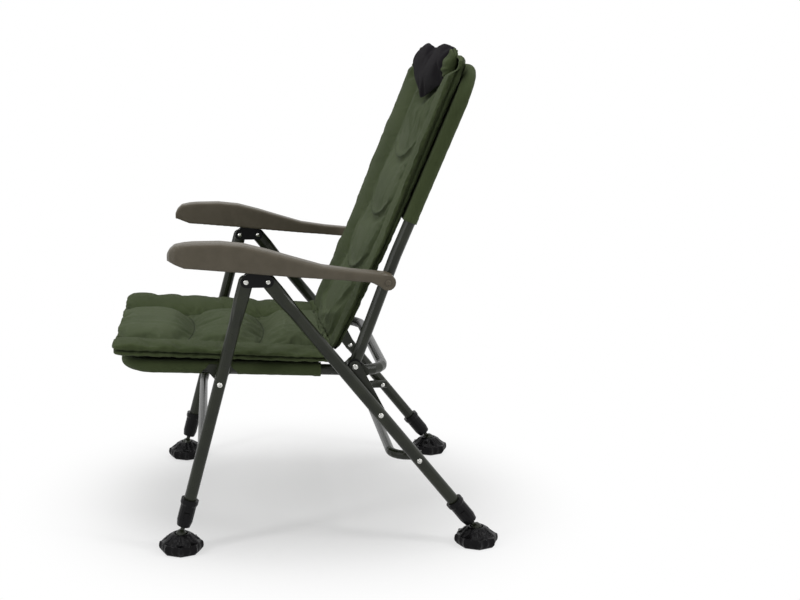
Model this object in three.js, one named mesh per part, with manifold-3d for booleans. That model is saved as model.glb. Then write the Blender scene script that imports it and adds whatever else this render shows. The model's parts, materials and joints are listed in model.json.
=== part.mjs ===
// A folding carp fishing chair: a steel tube frame with crossed legs, a padded
// mattress with sewn pads, moulded armrests, telescopic legs and swivelling mud feet.
//
// Millimetres, +Z up. The sitter faces -Y, so +X is the sitter's left-hand side.
// The side view is drawn first, in Y and Z, with Y = 0 under the front feet.
// The whole chair is then moved so that the origin is under its middle, on the ground.
import * as THREE from "three";
import { mergeVertices } from "three/addons/utils/BufferGeometryUtils.js";
import Module from "manifold-3d";

const wasm = await Module();
wasm.setup();

// Clearances
const touchGap = 0.3; // between pieces that touch
const pinPlay = 0.4; // round a rivet or bolt in its hole
const slidePlay = 0.5; // round an inner leg in its sleeve

// Faceting
const tubeSides = 16;
const smallTubeSides = 14;
const boltSides = 10;
const bendSteps = 5;

// Tube sizes (radii) and sheet thicknesses
const legRadius = 12.5;
const legWall = 1.5;
const backTubeRadius = 12;
const seatTubeRadius = 11;
const stretcherRadius = 9.5;
const innerLegRadius = 9.5;
const plateThickness = 3;
const bracketThickness = 2;

// Where things lie across the chair: the legs first, then layer by layer inwards
const legOut = 300; // from the middle plane to the middle of a leg
const linkGap = 1.5; // link plate to leg
const linkPlay = 3; // backrest tube to link plate
const plateClear = 1.7; // hip plate to backrest tube
const stretcherGap = 5; // a stretcher's short arm to the leg
const linkOuter = legOut - legRadius - linkGap;
const linkInner = linkOuter - plateThickness;
const backTubeOut = linkInner - linkPlay - backTubeRadius;
const plateOuter = backTubeOut - backTubeRadius - plateClear;
const plateInner = plateOuter - plateThickness;
const seatTubeOut = plateInner - touchGap - seatTubeRadius;
const stretcherOut = legOut - legRadius - stretcherGap - stretcherRadius;
const drillReach = 30; // how far a cutting tool reaches to each side of what it cuts
const cutSpare = 1; // a cut runs this far past the face it opens

// Pivots seen from the side
const frontTopY = 141; // front leg on its bracket
const frontTopZ = 551;
const rearTopY = 184; // rear leg on the same bracket
const rearTopZ = 551;
const frontHingeY = 88; // seat frame on the front leg
const frontHingeZ = 347;
const linkFootY = 407; // link plate on the rear leg
const linkFootZ = 279;
const hipY = 357; // backrest, seat frame and link plate
const hipZ = 373;
const armPivotY = 417; // armrest on the backrest
const armPivotZ = 548;
const rackPinY = 163; // pin that steps along the armrest's rack
const rackPinZ = 575;

const point = (y, z) => new THREE.Vector2(y, z);
const frontTop = point(frontTopY, frontTopZ);
const rearTop = point(rearTopY, rearTopZ);
const frontHinge = point(frontHingeY, frontHingeZ);
const linkFoot = point(linkFootY, linkFootZ);
const hip = point(hipY, hipZ);
const armPivot = point(armPivotY, armPivotZ);
const rackPin = point(rackPinY, rackPinZ);

// Small helpers

const along = (from, to, distance) =>
  to.clone().sub(from).normalize().multiplyScalar(distance).add(from);
const at = (x, p) => new THREE.Vector3(x, p.x, p.y);
const half = (value) => value / 2;

function toSolid(geometry) {
  const bare = geometry.clone();
  for (const name of Object.keys(bare.attributes))
    if (name !== "position") bare.deleteAttribute(name);
  const merged = mergeVertices(bare, 1e-4);
  const solid = new wasm.Manifold(
    new wasm.Mesh({
      numProp: 3,
      vertProperties: new Float32Array(merged.attributes.position.array),
      triVerts: new Uint32Array(merged.index.array),
    }),
  );
  return solid;
}

function toGeometry(solid) {
  const mesh = solid.getMesh();
  const geometry = new THREE.BufferGeometry();
  geometry.setAttribute(
    "position",
    new THREE.BufferAttribute(new Float32Array(mesh.vertProperties), 3),
  );
  geometry.setIndex(new THREE.BufferAttribute(new Uint32Array(mesh.triVerts), 1));
  geometry.computeVertexNormals();
  return geometry;
}

const join = (first, ...others) =>
  toGeometry(others.reduce((sum, g) => sum.add(toSolid(g)), toSolid(first)));
const cut = (body, ...tools) =>
  toGeometry(tools.reduce((rest, g) => rest.subtract(toSolid(g)), toSolid(body)));

// A skin over rings of points. Open lofts are closed by flat fans at their ends.
function loft(rings, closed = false) {
  const count = rings[0].length;
  const positions = rings.flat().flatMap((p) => [p.x, p.y, p.z]);
  const index = [];
  const spans = closed ? rings.length : rings.length - 1;
  for (let s = 0; s < spans; s++)
    for (let k = 0; k < count; k++) {
      const next = (k + 1) % count;
      const far = ((s + 1) % rings.length) * count;
      index.push(s * count + k, s * count + next, far + next);
      index.push(s * count + k, far + next, far + k);
    }
  if (!closed)
    for (let k = 1; k + 1 < count; k++) {
      const last = (rings.length - 1) * count;
      index.push(0, k + 1, k);
      index.push(last, last + k, last + k + 1);
    }
  return outward(positions, index);
}

// Turns every face round if the skin encloses a negative volume.
function outward(positions, index) {
  const corner = (i) => new THREE.Vector3().fromArray(positions, 3 * index[i]);
  let volume = 0;
  for (let i = 0; i < index.length; i += 3)
    volume += corner(i).dot(corner(i + 1).cross(corner(i + 2)));
  if (volume < 0)
    for (let i = 0; i < index.length; i += 3)
      [index[i + 1], index[i + 2]] = [index[i + 2], index[i + 1]];
  const geometry = new THREE.BufferGeometry();
  geometry.setAttribute("position", new THREE.Float32BufferAttribute(positions, 3));
  geometry.setIndex(index);
  return geometry;
}

// Corner points with each inner corner rounded by an arc; every station has a tangent.
function roundedPath(corners, bendRadius, closed = false) {
  const stations = [];
  const count = corners.length;
  for (let i = 0; i < count; i++) {
    const here = corners[i];
    if (!closed && (i === 0 || i === count - 1)) {
      const tangent = (i === 0 ? corners[1].clone().sub(here) : here.clone().sub(corners[i - 1]))
        .normalize();
      stations.push({ at: here.clone(), tangent });
      continue;
    }
    const into = here.clone().sub(corners[(i + count - 1) % count]).normalize();
    const away = corners[(i + 1) % count].clone().sub(here).normalize();
    const turn = into.angleTo(away);
    const radius = Array.isArray(bendRadius) ? bendRadius[i] : bendRadius;
    const setback = radius * Math.tan(half(turn));
    const start = here.clone().addScaledVector(into, -setback);
    const inward = away.clone().sub(into).normalize();
    const centre = here.clone().addScaledVector(inward, Math.hypot(radius, setback));
    const axis = new THREE.Vector3().crossVectors(into, away).normalize();
    const steps = Math.max(2, Math.round((bendSteps * turn) / half(Math.PI)));
    for (let s = 0; s <= steps; s++) {
      const angle = (turn * s) / steps;
      stations.push({
        at: start.clone().sub(centre).applyAxisAngle(axis, angle).add(centre),
        tangent: into.clone().applyAxisAngle(axis, angle),
      });
    }
  }
  return stations;
}

// A round bar swept along stations, with no twist.
function sweep(stations, radius, sides, closed = false) {
  const first = stations[0].tangent;
  let across = new THREE.Vector3(0, first.z, -first.y);
  if (across.lengthSq() < first.x * first.x) across = new THREE.Vector3(0, 0, 1);
  const rings = stations.map(({ at: centre, tangent, size }) => {
    across = across.clone().addScaledVector(tangent, -across.dot(tangent)).normalize();
    const other = new THREE.Vector3().crossVectors(tangent, across);
    return Array.from({ length: sides }, (unused, k) => {
      const angle = (2 * Math.PI * k) / sides;
      return centre
        .clone()
        .addScaledVector(across, Math.cos(angle) * (size ?? radius))
        .addScaledVector(other, Math.sin(angle) * (size ?? radius));
    });
  });
  return loft(rings, closed);
}

const straight = (from, to, radius, sides) => {
  const tangent = to.clone().sub(from).normalize();
  return sweep([{ at: from, tangent }, { at: to, tangent }], radius, sides);
};

// A round bar lying across the chair, from x0 to x1 at a point of the side view.
const crossPin = (x0, x1, p, radius, sides = boltSides) =>
  straight(at(x0, p), at(x1, p), radius, sides);

// A flat plate cut to a side-view outline, from x0 to x1.
function sidePlate(shape, x0, x1, curveSegments) {
  const plate = new THREE.ExtrudeGeometry(shape, {
    depth: x1 - x0,
    bevelEnabled: false,
    curveSegments,
  });
  const sideView = new THREE.Matrix4().makeBasis(
    new THREE.Vector3(0, 1, 0),
    new THREE.Vector3(0, 0, 1),
    new THREE.Vector3(1, 0, 0),
  );
  return plate.applyMatrix4(sideView).translate(x0, 0, 0);
}

// The outline round a chain of discs, as a belt would lie, taken counter-clockwise.
function beltShape(discs, arcSteps) {
  const points = [];
  discs.forEach(({ p, r }, i) => {
    const before = discs[(i + discs.length - 1) % discs.length];
    const after = discs[(i + 1) % discs.length];
    const tangentAngle = (a, b) => {
      const d = b.p.clone().sub(a.p);
      return Math.atan2(d.y, d.x) - Math.acos((a.r - b.r) / d.length());
    };
    const start = tangentAngle(before, { p, r });
    let end = tangentAngle({ p, r }, after);
    while (end < start) end += 2 * Math.PI;
    const steps = Math.max(1, Math.ceil((arcSteps * (end - start)) / Math.PI));
    for (let s = 0; s <= steps; s++) {
      const angle = start + ((end - start) * s) / steps;
      points.push(point(p.x + r * Math.cos(angle), p.y + r * Math.sin(angle)));
    }
  });
  return new THREE.Shape(points);
}

// A lathe about a leg's own axis: profile points are [radius, distance down the leg].
function legLathe(profile, x, top, foot, sides) {
  const down = foot.clone().sub(top).normalize();
  const basis = new THREE.Matrix4().makeBasis(
    new THREE.Vector3(1, 0, 0),
    new THREE.Vector3(0, down.x, down.y),
    new THREE.Vector3(0, -down.y, down.x),
  );
  const lathe = new THREE.LatheGeometry(
    profile.map(([r, d]) => new THREE.Vector2(r, d)),
    sides,
  );
  const turned = lathe.applyMatrix4(basis).translate(x, top.x, top.y);
  const merged = toMerged(turned);
  return outward([...merged.attributes.position.array], [...merged.index.array]);
}

function toMerged(geometry) {
  const bare = geometry.clone();
  for (const name of Object.keys(bare.attributes))
    if (name !== "position") bare.deleteAttribute(name);
  const merged = mergeVertices(bare, 1e-4);
  // Faces that shrank to a line on the axis are dropped.
  const kept = [];
  const source = merged.index.array;
  for (let i = 0; i < source.length; i += 3) {
    const [a, b, c] = [source[i], source[i + 1], source[i + 2]];
    if (a !== b && b !== c && a !== c) kept.push(a, b, c);
  }
  merged.setIndex(kept);
  return merged;
}

// Materials
const surface = (color, roughness, metalness) =>
  new THREE.MeshStandardMaterial({ color, roughness, metalness });
const paintedSteel = () => surface(0x2c322a, 0.45, 0.6);
const zincSteel = () => surface(0xb4b4b0, 0.35, 0.9);
const blackPlastic = () => surface(0x191a1c, 0.6, 0);
const armPlastic = () => surface(0x4d453a, 0.55, 0);
const oliveCloth = () => surface(0x56624a, 0.95, 0);
const darkCloth = () => surface(0x3c4632, 0.95, 0);
const pillowCloth = () => surface(0x232224, 0.95, 0);

const chair = new THREE.Group();
function add(name, geometry, material) {
  const mesh = new THREE.Mesh(geometry, material);
  mesh.name = name;
  chair.add(mesh);
  return mesh;
}

// Left is the +X side. Each maker takes the side's sign, and xs orders a pair of sides.
const sides = [
  ["left", 1],
  ["right", -1],
];
const span = (side, inner, outer) => (side > 0 ? [inner, outer] : [-outer, -inner]);
const both = (make) => sides.forEach(([label, side]) => make(label, side));

// Legs: crossed pairs that hang from a bracket under each armrest

const footPivotHeight = 34;
const clampDown = 246; // from the hinge rivet down to the top of the clamp, front
const rearClampDown = 240;
const rearStretcherDrop = 125; // down the rear leg from the link rivet to the stretcher's bolt
const clampLength = 58;
const legOverPivot = 13; // how far a leg's rounded top passes its pivot
const flatHalf = 8; // half thickness of a leg where it is pressed flat at its top
const flatWide = 15; // half width of the pressed part
const flatLength = 34;
const capSteps = 4;
const capLeastShare = 0.15; // share of the width at the very top
const rivetRadius = 4;
const rivetHeadRadius = 7;
const rivetHeadHeight = 2;

const legFoot = (top, through) => {
  const down = through.clone().sub(top).normalize();
  return along(top, through, (top.y - footPivotHeight) / -down.y);
};
const frontFoot = legFoot(frontTop, frontHinge);
const rearFoot = legFoot(rearTop, linkFoot);
const frontClampTop = along(frontHinge, frontFoot, clampDown);
const rearClampTop = along(linkFoot, rearFoot, rearClampDown);

const tubeEndDepth = 22; // how far a leg tube runs down inside its clamp

// Rings for a leg tube that is pressed flat at its top and round below.
function legTube(x, top, clampTop) {
  const down = clampTop.clone().sub(top).normalize();
  const end = along(top, clampTop, top.distanceTo(clampTop) + tubeEndDepth);
  const outwardWay = new THREE.Vector3(1, 0, 0);
  const wide = new THREE.Vector3(0, -down.y, down.x);
  const flatEnd = flatLength + flatWide;
  const blendEnd = flatEnd + flatLength;
  const rows = [];
  for (let i = 0; i <= capSteps; i++) {
    // the rounded top, seen from the side as a half circle
    const angle = (half(Math.PI) * i) / capSteps;
    rows.push({
      d: -legOverPivot * Math.cos(angle),
      thick: flatHalf,
      broad: flatWide * Math.max(capLeastShare, Math.sin(angle)),
    });
  }
  rows.push({ d: flatLength, thick: flatHalf, broad: flatWide });
  rows.push({
    d: half(flatLength + blendEnd),
    thick: half(flatHalf + legRadius),
    broad: half(flatWide + legRadius),
  });
  rows.push({ d: blendEnd, thick: legRadius, broad: legRadius });
  rows.push({ d: end.distanceTo(top), thick: legRadius, broad: legRadius });
  const rings = rows.map(({ d, thick, broad }) => {
    const centre = at(x, along(top, clampTop, d));
    return Array.from({ length: tubeSides }, (unused, k) => {
      const angle = (2 * Math.PI * (k + half(1))) / tubeSides;
      return centre
        .clone()
        .addScaledVector(outwardWay, Math.cos(angle) * thick)
        .addScaledVector(wide, Math.sin(angle) * broad);
    });
  });
  return loft(rings);
}

// The bore that takes the inner leg, from below up to its depth.
const stretcherBoltClear = 15; // from the top of an inner leg to the stretcher bolt above it
const innerLegReach = rearClampDown - rearStretcherDrop - stretcherBoltClear; // above the clamp
const boreSpare = 6;
function legBore(x, top, clampTop) {
  const from = along(clampTop, top, innerLegReach + boreSpare);
  const to = along(clampTop, top, -tubeEndDepth - boreSpare);
  return straight(at(x, from), at(x, to), legRadius - legWall, tubeSides);
}

const pinHole = (x, p, radius = rivetRadius) =>
  crossPin(x - drillReach, x + drillReach, p, radius + pinPlay);

function makeLeg(x, top, hinge, clampTop) {
  return cut(
    legTube(x, top, clampTop),
    legBore(x, top, clampTop),
    pinHole(x, top),
    pinHole(x, hinge),
  );
}

both((label, side) => {
  const x = side * legOut;
  add(`front_leg_${label}`, makeLeg(x, frontTop, frontHinge, frontClampTop), paintedSteel());
  add(`rear_leg_${label}`, makeLeg(x, rearTop, linkFoot, rearClampTop), paintedSteel());
});

// Rivets: a shank with a domed head at its outer end and a flat one at its inner end
const rivetDomeSteps = 2;
function rivet(side, p, headAt, tailAt, radius = rivetRadius, headRadius = rivetHeadRadius) {
  // headAt and tailAt are distances from the middle plane of the faces the heads sit on
  const rows = [];
  for (let i = 0; i <= rivetDomeSteps; i++) {
    const angle = (half(Math.PI) * (rivetDomeSteps - i)) / (rivetDomeSteps + 1);
    rows.push([headAt + rivetHeadHeight * Math.sin(angle), headRadius * Math.cos(angle)]);
  }
  rows.push([headAt, radius]);
  rows.push([tailAt, radius]);
  rows.push([tailAt, headRadius]);
  rows.push([tailAt - half(rivetHeadHeight), headRadius]);
  const rings = rows.map(([x, r]) =>
    Array.from({ length: boltSides }, (unused, k) => {
      const angle = (2 * Math.PI * k) / boltSides;
      return new THREE.Vector3(side * x, p.x + r * Math.cos(angle), p.y + r * Math.sin(angle));
    }),
  );
  return loft(rings);
}

// Brackets: two plates that straddle the tops of both legs, joined by the rack pin

const bracketPinRadius = 4;
const bracketRound = 11;
const rackEarRound = 8;
const plateGap = flatHalf + touchGap;
const discSteps = 7;

const bracketShape = () => {
  const shape = beltShape(
    [
      { p: frontTop, r: bracketRound },
      { p: rearTop, r: bracketRound },
      { p: rackPin, r: rackEarRound },
    ],
    discSteps,
  );
  return shape;
};

both((label, side) => {
  const x = side * legOut;
  const plates = [
    [x - plateGap - bracketThickness, x - plateGap],
    [x + plateGap, x + plateGap + bracketThickness],
  ].map(([x0, x1]) => sidePlate(bracketShape(), x0, x1, discSteps));
  const reach = plateGap + half(bracketThickness);
  const body = join(...plates, crossPin(x - reach, x + reach, rackPin, bracketPinRadius));
  add(
    `leg_bracket_${label}`,
    cut(body, pinHole(x, frontTop), pinHole(x, rearTop)),
    blackPlastic(),
  );
  const face = plateGap + bracketThickness + touchGap;
  for (const [which, p] of [
    ["front", frontTop],
    ["rear", rearTop],
  ])
    add(
      `${which}_top_rivet_${label}`,
      rivet(side, p, legOut + face, legOut - face),
      zincSteel(),
    );
});

// Stretchers: U-shaped tubes that tie each pair of legs together

const frontStretcherDrop = 148; // down the front leg from its hinge
const stretcherBend = 34;
const rearStretcherAhead = 50; // the cross tube stands this far in front of the rear leg
const stretcherEndRound = 10;

const frontCross = along(frontHinge, frontFoot, frontStretcherDrop);
const rearFix = along(linkFoot, rearFoot, rearStretcherDrop);
const rearCross = point(rearFix.x - rearStretcherAhead, rearFix.y);

function stretcher(fix, cross) {
  const start = along(fix, cross, -stretcherEndRound);
  const corners = [
    at(stretcherOut, start),
    at(stretcherOut, cross),
    at(-stretcherOut, cross),
    at(-stretcherOut, start),
  ];
  const stations = roundedPath(corners, stretcherBend);
  return sweep(stations, stretcherRadius, smallTubeSides);
}

const armHole = (side, p) => {
  const reach = stretcherRadius + cutSpare;
  const x = side * stretcherOut;
  return crossPin(x - reach, x + reach, p, rivetRadius + pinPlay);
};

add(
  "front_stretcher",
  cut(stretcher(frontHinge, frontCross), armHole(1, frontHinge), armHole(-1, frontHinge)),
  paintedSteel(),
);
add(
  "rear_stretcher",
  cut(stretcher(rearFix, rearCross), armHole(1, rearFix), armHole(-1, rearFix)),
  paintedSteel(),
);

// The front hinge rivet holds the leg and the stretcher's arm; the seat's lug is inboard.
const stretcherInner = stretcherOut - stretcherRadius;
both((label, side) => {
  add(
    `front_hinge_rivet_${label}`,
    rivet(side, frontHinge, legOut + legRadius + touchGap, stretcherInner - touchGap),
    zincSteel(),
  );
  add(
    `stretcher_bolt_${label}`,
    rivet(side, rearFix, legOut + legRadius + touchGap, stretcherInner - touchGap),
    zincSteel(),
  );
});

// The rear legs need a hole for the stretcher bolt as well.
for (const [label, side] of sides) {
  const leg = chair.children.find((mesh) => mesh.name === `rear_leg_${label}`);
  leg.geometry = cut(leg.geometry, pinHole(side * legOut, rearFix));
}

// Leg clamps: moulded sleeves with a flared collar and a push button

const clampCollar = 18;
const clampWaist = 16;
const clampTip = 13.5;
const collarHeight = 9;
const tipHeight = 12;
const buttonHalf = 5;
const buttonDown = 26;
const buttonTall = 14;
const buttonProud = 1.5;
const buttonTravel = 2;
const buttonSpring = 1.5; // room for the spring under a pressed button
const pocketSpare = 0.5;
const clampStepDepth = tubeEndDepth + touchGap;

function clampBody(x, clampTop, foot) {
  const tubeBore = legRadius + touchGap;
  const innerBore = innerLegRadius + slidePlay;
  const profile = [
    [tubeBore, 0],
    [clampCollar, 0],
    [clampCollar, collarHeight],
    [clampWaist, collarHeight + half(collarHeight)],
    [clampWaist, clampLength - tipHeight],
    [clampTip, clampLength],
    [innerBore, clampLength],
    [innerBore, clampStepDepth],
    [tubeBore, clampStepDepth],
    [tubeBore, 0],
  ];
  return legLathe(profile, x, clampTop, foot, tubeSides);
}

// A block standing on a leg's outer side, given in the leg's own directions.
function legBlock(side, clampTop, foot, from, to, wide, x0, x1) {
  const down = foot.clone().sub(clampTop).normalize();
  const block = new THREE.BoxGeometry(x1 - x0, wide, to - from);
  const basis = new THREE.Matrix4().makeBasis(
    new THREE.Vector3(1, 0, 0),
    new THREE.Vector3(0, -down.y, down.x),
    new THREE.Vector3(0, -down.x, -down.y),
  );
  const centre = at(side * half(x0 + x1), along(clampTop, foot, half(from + to)));
  return block.applyMatrix4(basis).translate(centre.x, centre.y, centre.z);
}

const buttonSeat = legOut + innerLegRadius + slidePlay + buttonSpring + buttonTravel;
function makeClamp(side, clampTop, foot) {
  const low = buttonDown + buttonTall;
  const pocket = legBlock(
    side,
    clampTop,
    foot,
    buttonDown - pocketSpare,
    low + pocketSpare,
    2 * (buttonHalf + pocketSpare),
    buttonSeat - buttonTravel,
    legOut + clampCollar + cutSpare,
  );
  const body = clampBody(side * legOut, clampTop, foot);
  return cut(body, pocket);
}

// Feet: wide domes with a ball cup; inner legs end in the ball

const footRadius = 44;
const footFacet = 3; // between two corners the eight-sided rim stands this far in
const footBaseIn = 2;
const footBaseEdge = 3;
const footRim = 13;
const footShoulder = 39;
const footShoulderZ = 22;
const footCrown = 25;
const footCrownZ = 34;
const footTop = 37.5;
const footTopRadius = 15;
const ballRadius = 11.5;
const cupRadius = 12.8;
const neckRadius = 4.5;
const shoulderDown = 19; // the inner leg's shoulder stands this far above the ball's centre
const footSides = 16;
const cupSteps = 4;
const cupFloorShare = 0.88; // the cup's skin ends at this share of the way down, in a flat floor
const shoulderChamfer = 2;

function makeFoot(x, foot) {
  const openAngle = Math.asin((footTop - footPivotHeight) / cupRadius);
  const deepAngle = cupFloorShare * half(Math.PI);
  // every ring: radius at its eight corners, radius between them, height
  const rows = [
    [footRadius - footBaseIn, footRadius - footBaseIn - footFacet, 0],
    [footRadius, footRadius - footFacet, footBaseEdge],
    [footRadius, footRadius - footFacet, footRim],
    [footShoulder, footShoulder, footShoulderZ],
    [footCrown, footCrown, footCrownZ],
    [footTopRadius, footTopRadius, footTop],
  ];
  for (let i = 0; i <= cupSteps; i++) {
    const angle = openAngle - ((openAngle + deepAngle) * i) / cupSteps;
    const r = cupRadius * Math.cos(angle);
    rows.push([r, r, footPivotHeight + cupRadius * Math.sin(angle)]);
  }
  return loft(
    rows.map(([corner, between, z]) =>
      Array.from({ length: footSides }, (unused, k) => {
        const angle = (2 * Math.PI * k) / footSides;
        const r = k % 2 ? between : corner;
        return new THREE.Vector3(x + r * Math.cos(angle), foot.x + r * Math.sin(angle), z);
      }),
    ),
  );
}

const ballSteps = 5;
function makeInnerLeg(side, clampTop, foot) {
  const x = side * legOut;
  const length = clampTop.distanceTo(foot);
  const profile = [];
  const neckAngle = Math.asin(neckRadius / ballRadius);
  profile.push([0, -innerLegReach]);
  profile.push([innerLegRadius, -innerLegReach]);
  profile.push([innerLegRadius, length - shoulderDown - shoulderChamfer]);
  profile.push([innerLegRadius - shoulderChamfer, length - shoulderDown]);
  profile.push([neckRadius, length - shoulderDown]);
  for (let i = 0; i <= ballSteps; i++) {
    const angle = neckAngle + ((Math.PI - neckAngle) * i) / ballSteps;
    profile.push([
      i === ballSteps ? 0 : ballRadius * Math.sin(angle),
      length - ballRadius * Math.cos(angle),
    ]);
  }
  return legLathe(profile, x, clampTop, foot, smallTubeSides);
}

for (const [place, clampTop, foot] of [
  ["front", frontClampTop, frontFoot],
  ["rear", rearClampTop, rearFoot],
])
  both((label, side) => {
    add(`leg_clamp_${place}_${label}`, makeClamp(side, clampTop, foot), blackPlastic());
    add(
      `clamp_button_${place}_${label}`,
      legBlock(
        side,
        clampTop,
        foot,
        buttonDown,
        buttonDown + buttonTall,
        2 * buttonHalf,
        buttonSeat,
        legOut + clampWaist + buttonProud,
      ),
      blackPlastic(),
    );
    add(`inner_leg_${place}_${label}`, makeInnerLeg(side, clampTop, foot), paintedSteel());
    add(`mud_foot_${place}_${label}`, makeFoot(side * legOut, foot), blackPlastic());
  });

// Seat frame: one closed loop of tube that slopes down a little to the back

const seatFrontY = -98;
const seatRearY = 424;
const seatFrontZ = 372;
const seatRearZ = 352;
const seatCorner = 60;

const seatHeightAt = (y) =>
  seatFrontZ + ((seatRearZ - seatFrontZ) * (y - seatFrontY)) / (seatRearY - seatFrontY);
const seatLine = (y, lift = 0) => point(y, seatHeightAt(y) + lift);

const seatLoop = roundedPath(
  [
    at(seatTubeOut, seatLine(seatFrontY)),
    at(seatTubeOut, seatLine(seatRearY)),
    at(-seatTubeOut, seatLine(seatRearY)),
    at(-seatTubeOut, seatLine(seatFrontY)),
  ],
  seatCorner,
  true,
);
add("seat_frame", sweep(seatLoop, seatTubeRadius, tubeSides, true), paintedSteel());

// Hinge plates stand outside the seat tube: one rises to the hip, one hangs to the front leg
const plateFootRound = 9;
const hingeFootSpread = 24;
const lugSpread = 17;
const hipRound = 13;
const lugRound = 10;

const hingeShape = (pivot, pivotRound, spread) => {
  const onTube = (dy) => {
    const y = pivot.x + dy;
    return { p: seatLine(y), r: plateFootRound };
  };
  const foot = [onTube(-spread), onTube(spread)];
  const top = { p: pivot, r: pivotRound };
  // the belt runs counter-clockwise: the pivot is above or below the tube
  return pivot.y > seatHeightAt(pivot.x) ? [foot[0], foot[1], top] : [foot[1], foot[0], top];
};
const hubShankRadius = 5;
both((label, side) => {
  const [x0, x1] = span(side, plateInner, plateOuter);
  add(
    `hip_plate_${label}`,
    cut(
      sidePlate(beltShape(hingeShape(hip, hipRound, hingeFootSpread), discSteps), x0, x1),
      crossPin(x0 - cutSpare, x1 + cutSpare, hip, hubShankRadius + pinPlay),
    ),
    paintedSteel(),
  );
  add(
    `front_lug_${label}`,
    sidePlate(beltShape(hingeShape(frontHinge, lugRound, lugSpread), discSteps), x0, x1),
    paintedSteel(),
  );
});

// Link plates between the hip and the rear leg
const linkRound = 12;
both((label, side) => {
  const [x0, x1] = span(side, linkInner, linkOuter);
  const shape = beltShape(
    [
      { p: linkFoot, r: linkRound },
      { p: hip, r: linkRound },
    ],
    discSteps,
  );
  add(
    `link_plate_${label}`,
    cut(
      sidePlate(shape, x0, x1),
      crossPin(x0 - cutSpare, x1 + cutSpare, hip, hubShankRadius + pinPlay),
      crossPin(x0 - cutSpare, x1 + cutSpare, linkFoot, rivetRadius + pinPlay),
    ),
    paintedSteel(),
  );
  add(
    `link_rivet_${label}`,
    rivet(side, linkFoot, legOut + legRadius + touchGap, linkInner - touchGap),
    zincSteel(),
  );
});

// Backrest frame: side tubes that bend back a little above the armrests, and a top bow

const backBendY = 436;
const backBendZ = 592;
const backTopY = 583;
const backTopZ = 950;
const backBendRadius = 160;
const backBowRadius = 62;
const hubDiscRadius = 15;
const hubDiscIn = 1; // the disc is this much thinner than the tube on each side
const hipEndPast = 6; // the tube runs this far past the hip

const backBend = point(backBendY, backBendZ);
const backTop = point(backTopY, backTopZ);
const hipEnd = along(hip, armPivot, -hipEndPast);
const backPath = (out, top) =>
  roundedPath(
    [
      at(out, hipEnd),
      at(out, backBend),
      at(out, top),
      at(-out, top),
      at(-out, backBend),
      at(-out, hipEnd),
    ],
    [0, backBendRadius, backBowRadius, backBowRadius, backBendRadius, 0],
  );
{
  let frame = sweep(backPath(backTubeOut, backTop), backTubeRadius, tubeSides);
  for (const [, side] of sides) {
    const x = side * backTubeOut;
    const disc = crossPin(
      x - backTubeRadius + hubDiscIn,
      x + backTubeRadius - hubDiscIn,
      hip,
      hubDiscRadius,
      tubeSides,
    );
    frame = join(frame, disc);
    frame = cut(
      frame,
      crossPin(x - drillReach, x + drillReach, hip, hubShankRadius + pinPlay),
      crossPin(x - drillReach, x + drillReach, armPivot, rivetRadius + pinPlay),
    );
  }
  add("backrest_frame", frame, paintedSteel());
}

// Hip bolts: one through the hip plate, the backrest tube and the link plate
const hubHeadRadius = 7.5;
const hubHeadHeight = 4;
const hubShankProud = 0.5;
both((label, side) => {
  const inner = plateInner - hubShankProud;
  const shank = span(side, inner, linkOuter + touchGap + hubShankProud);
  const head = span(side, linkOuter + touchGap, linkOuter + touchGap + hubHeadHeight);
  add(
    `hip_bolt_${label}`,
    join(
      crossPin(...shank, hip, hubShankRadius),
      crossPin(...head, hip, hubHeadRadius, tubeSides),
    ),
    zincSteel(),
  );
});

// Spacer washers, which fill the play outside the backrest tubes
const hipWasherRadius = hubDiscRadius;
const armWasherRadius = 12;
const spacer = (side, p, radius, shankRadius) => {
  const tubeFace = backTubeOut + backTubeRadius;
  const [x0, x1] = span(side, tubeFace + touchGap, linkInner - touchGap);
  return cut(
    crossPin(x0, x1, p, radius, tubeSides),
    crossPin(x0 - cutSpare, x1 + cutSpare, p, shankRadius + pinPlay),
  );
};
both((label, side) => {
  const hipWasher = spacer(side, hip, hipWasherRadius, hubShankRadius);
  const armWasher = spacer(side, armPivot, armWasherRadius, rivetRadius);
  add(`hip_washer_${label}`, hipWasher, zincSteel());
  add(`armrest_washer_${label}`, armWasher, zincSteel());
});

// Armrests: moulded shells, deep and broad in front, open underneath, with a rack inside

const armInner = linkInner; // the inner side is flat, beside the backrest tube
const armReach = 26; // from the middle of the leg to the armrest's outer side
const armOuter = legOut + armReach;
const armLength = 428; // from the nose to the pivot
const armRise = 82; // from the pivot up to the highest place of the top
const armNoseY = armPivotY - armLength;
const armRearOutShare = 0.79; // how much of the full width the rear end has
// each station: shares of the length from the nose, of the rise at its top and at its
// bottom, and of the full width
const armStations = [
  [0, 0.707, 0.55, 0.45],
  [0.012, 0.829, 0.54, 0.75],
  [0.035, 0.933, 0.488, 0.93],
  [0.077, 0.976, 0.402, 1],
  [0.119, 0.994, 0.384, 1],
  [0.236, 1, 0.329, 1],
  [0.346, 0.939, 0.28, 1],
  [0.458, 0.787, 0.22, 0.97],
  [0.563, 0.622, 0.165, 0.9],
  [0.7, 0.415, 0.098, 0.82],
  [0.832, 0.311, 0.043, 0.79],
  [0.925, 0.262, 0, 0.79],
  [1, 0.22, -0.195, armRearOutShare],
].map(([share, top, bottom, out]) => ({
  y: armNoseY + armLength * share,
  top: armPivotZ + armRise * top,
  bottom: armPivotZ + armRise * bottom,
  out,
}));
const armRearRound = 16;
const armWall = 5;
const channelHalf = 14;
const channelFrontY = 36;
const channelRearY = 350;
const cornerRound = 9;
const cornerSteps = 3;
const cornerLeast = 1; // flat left between two rounded corners

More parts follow.
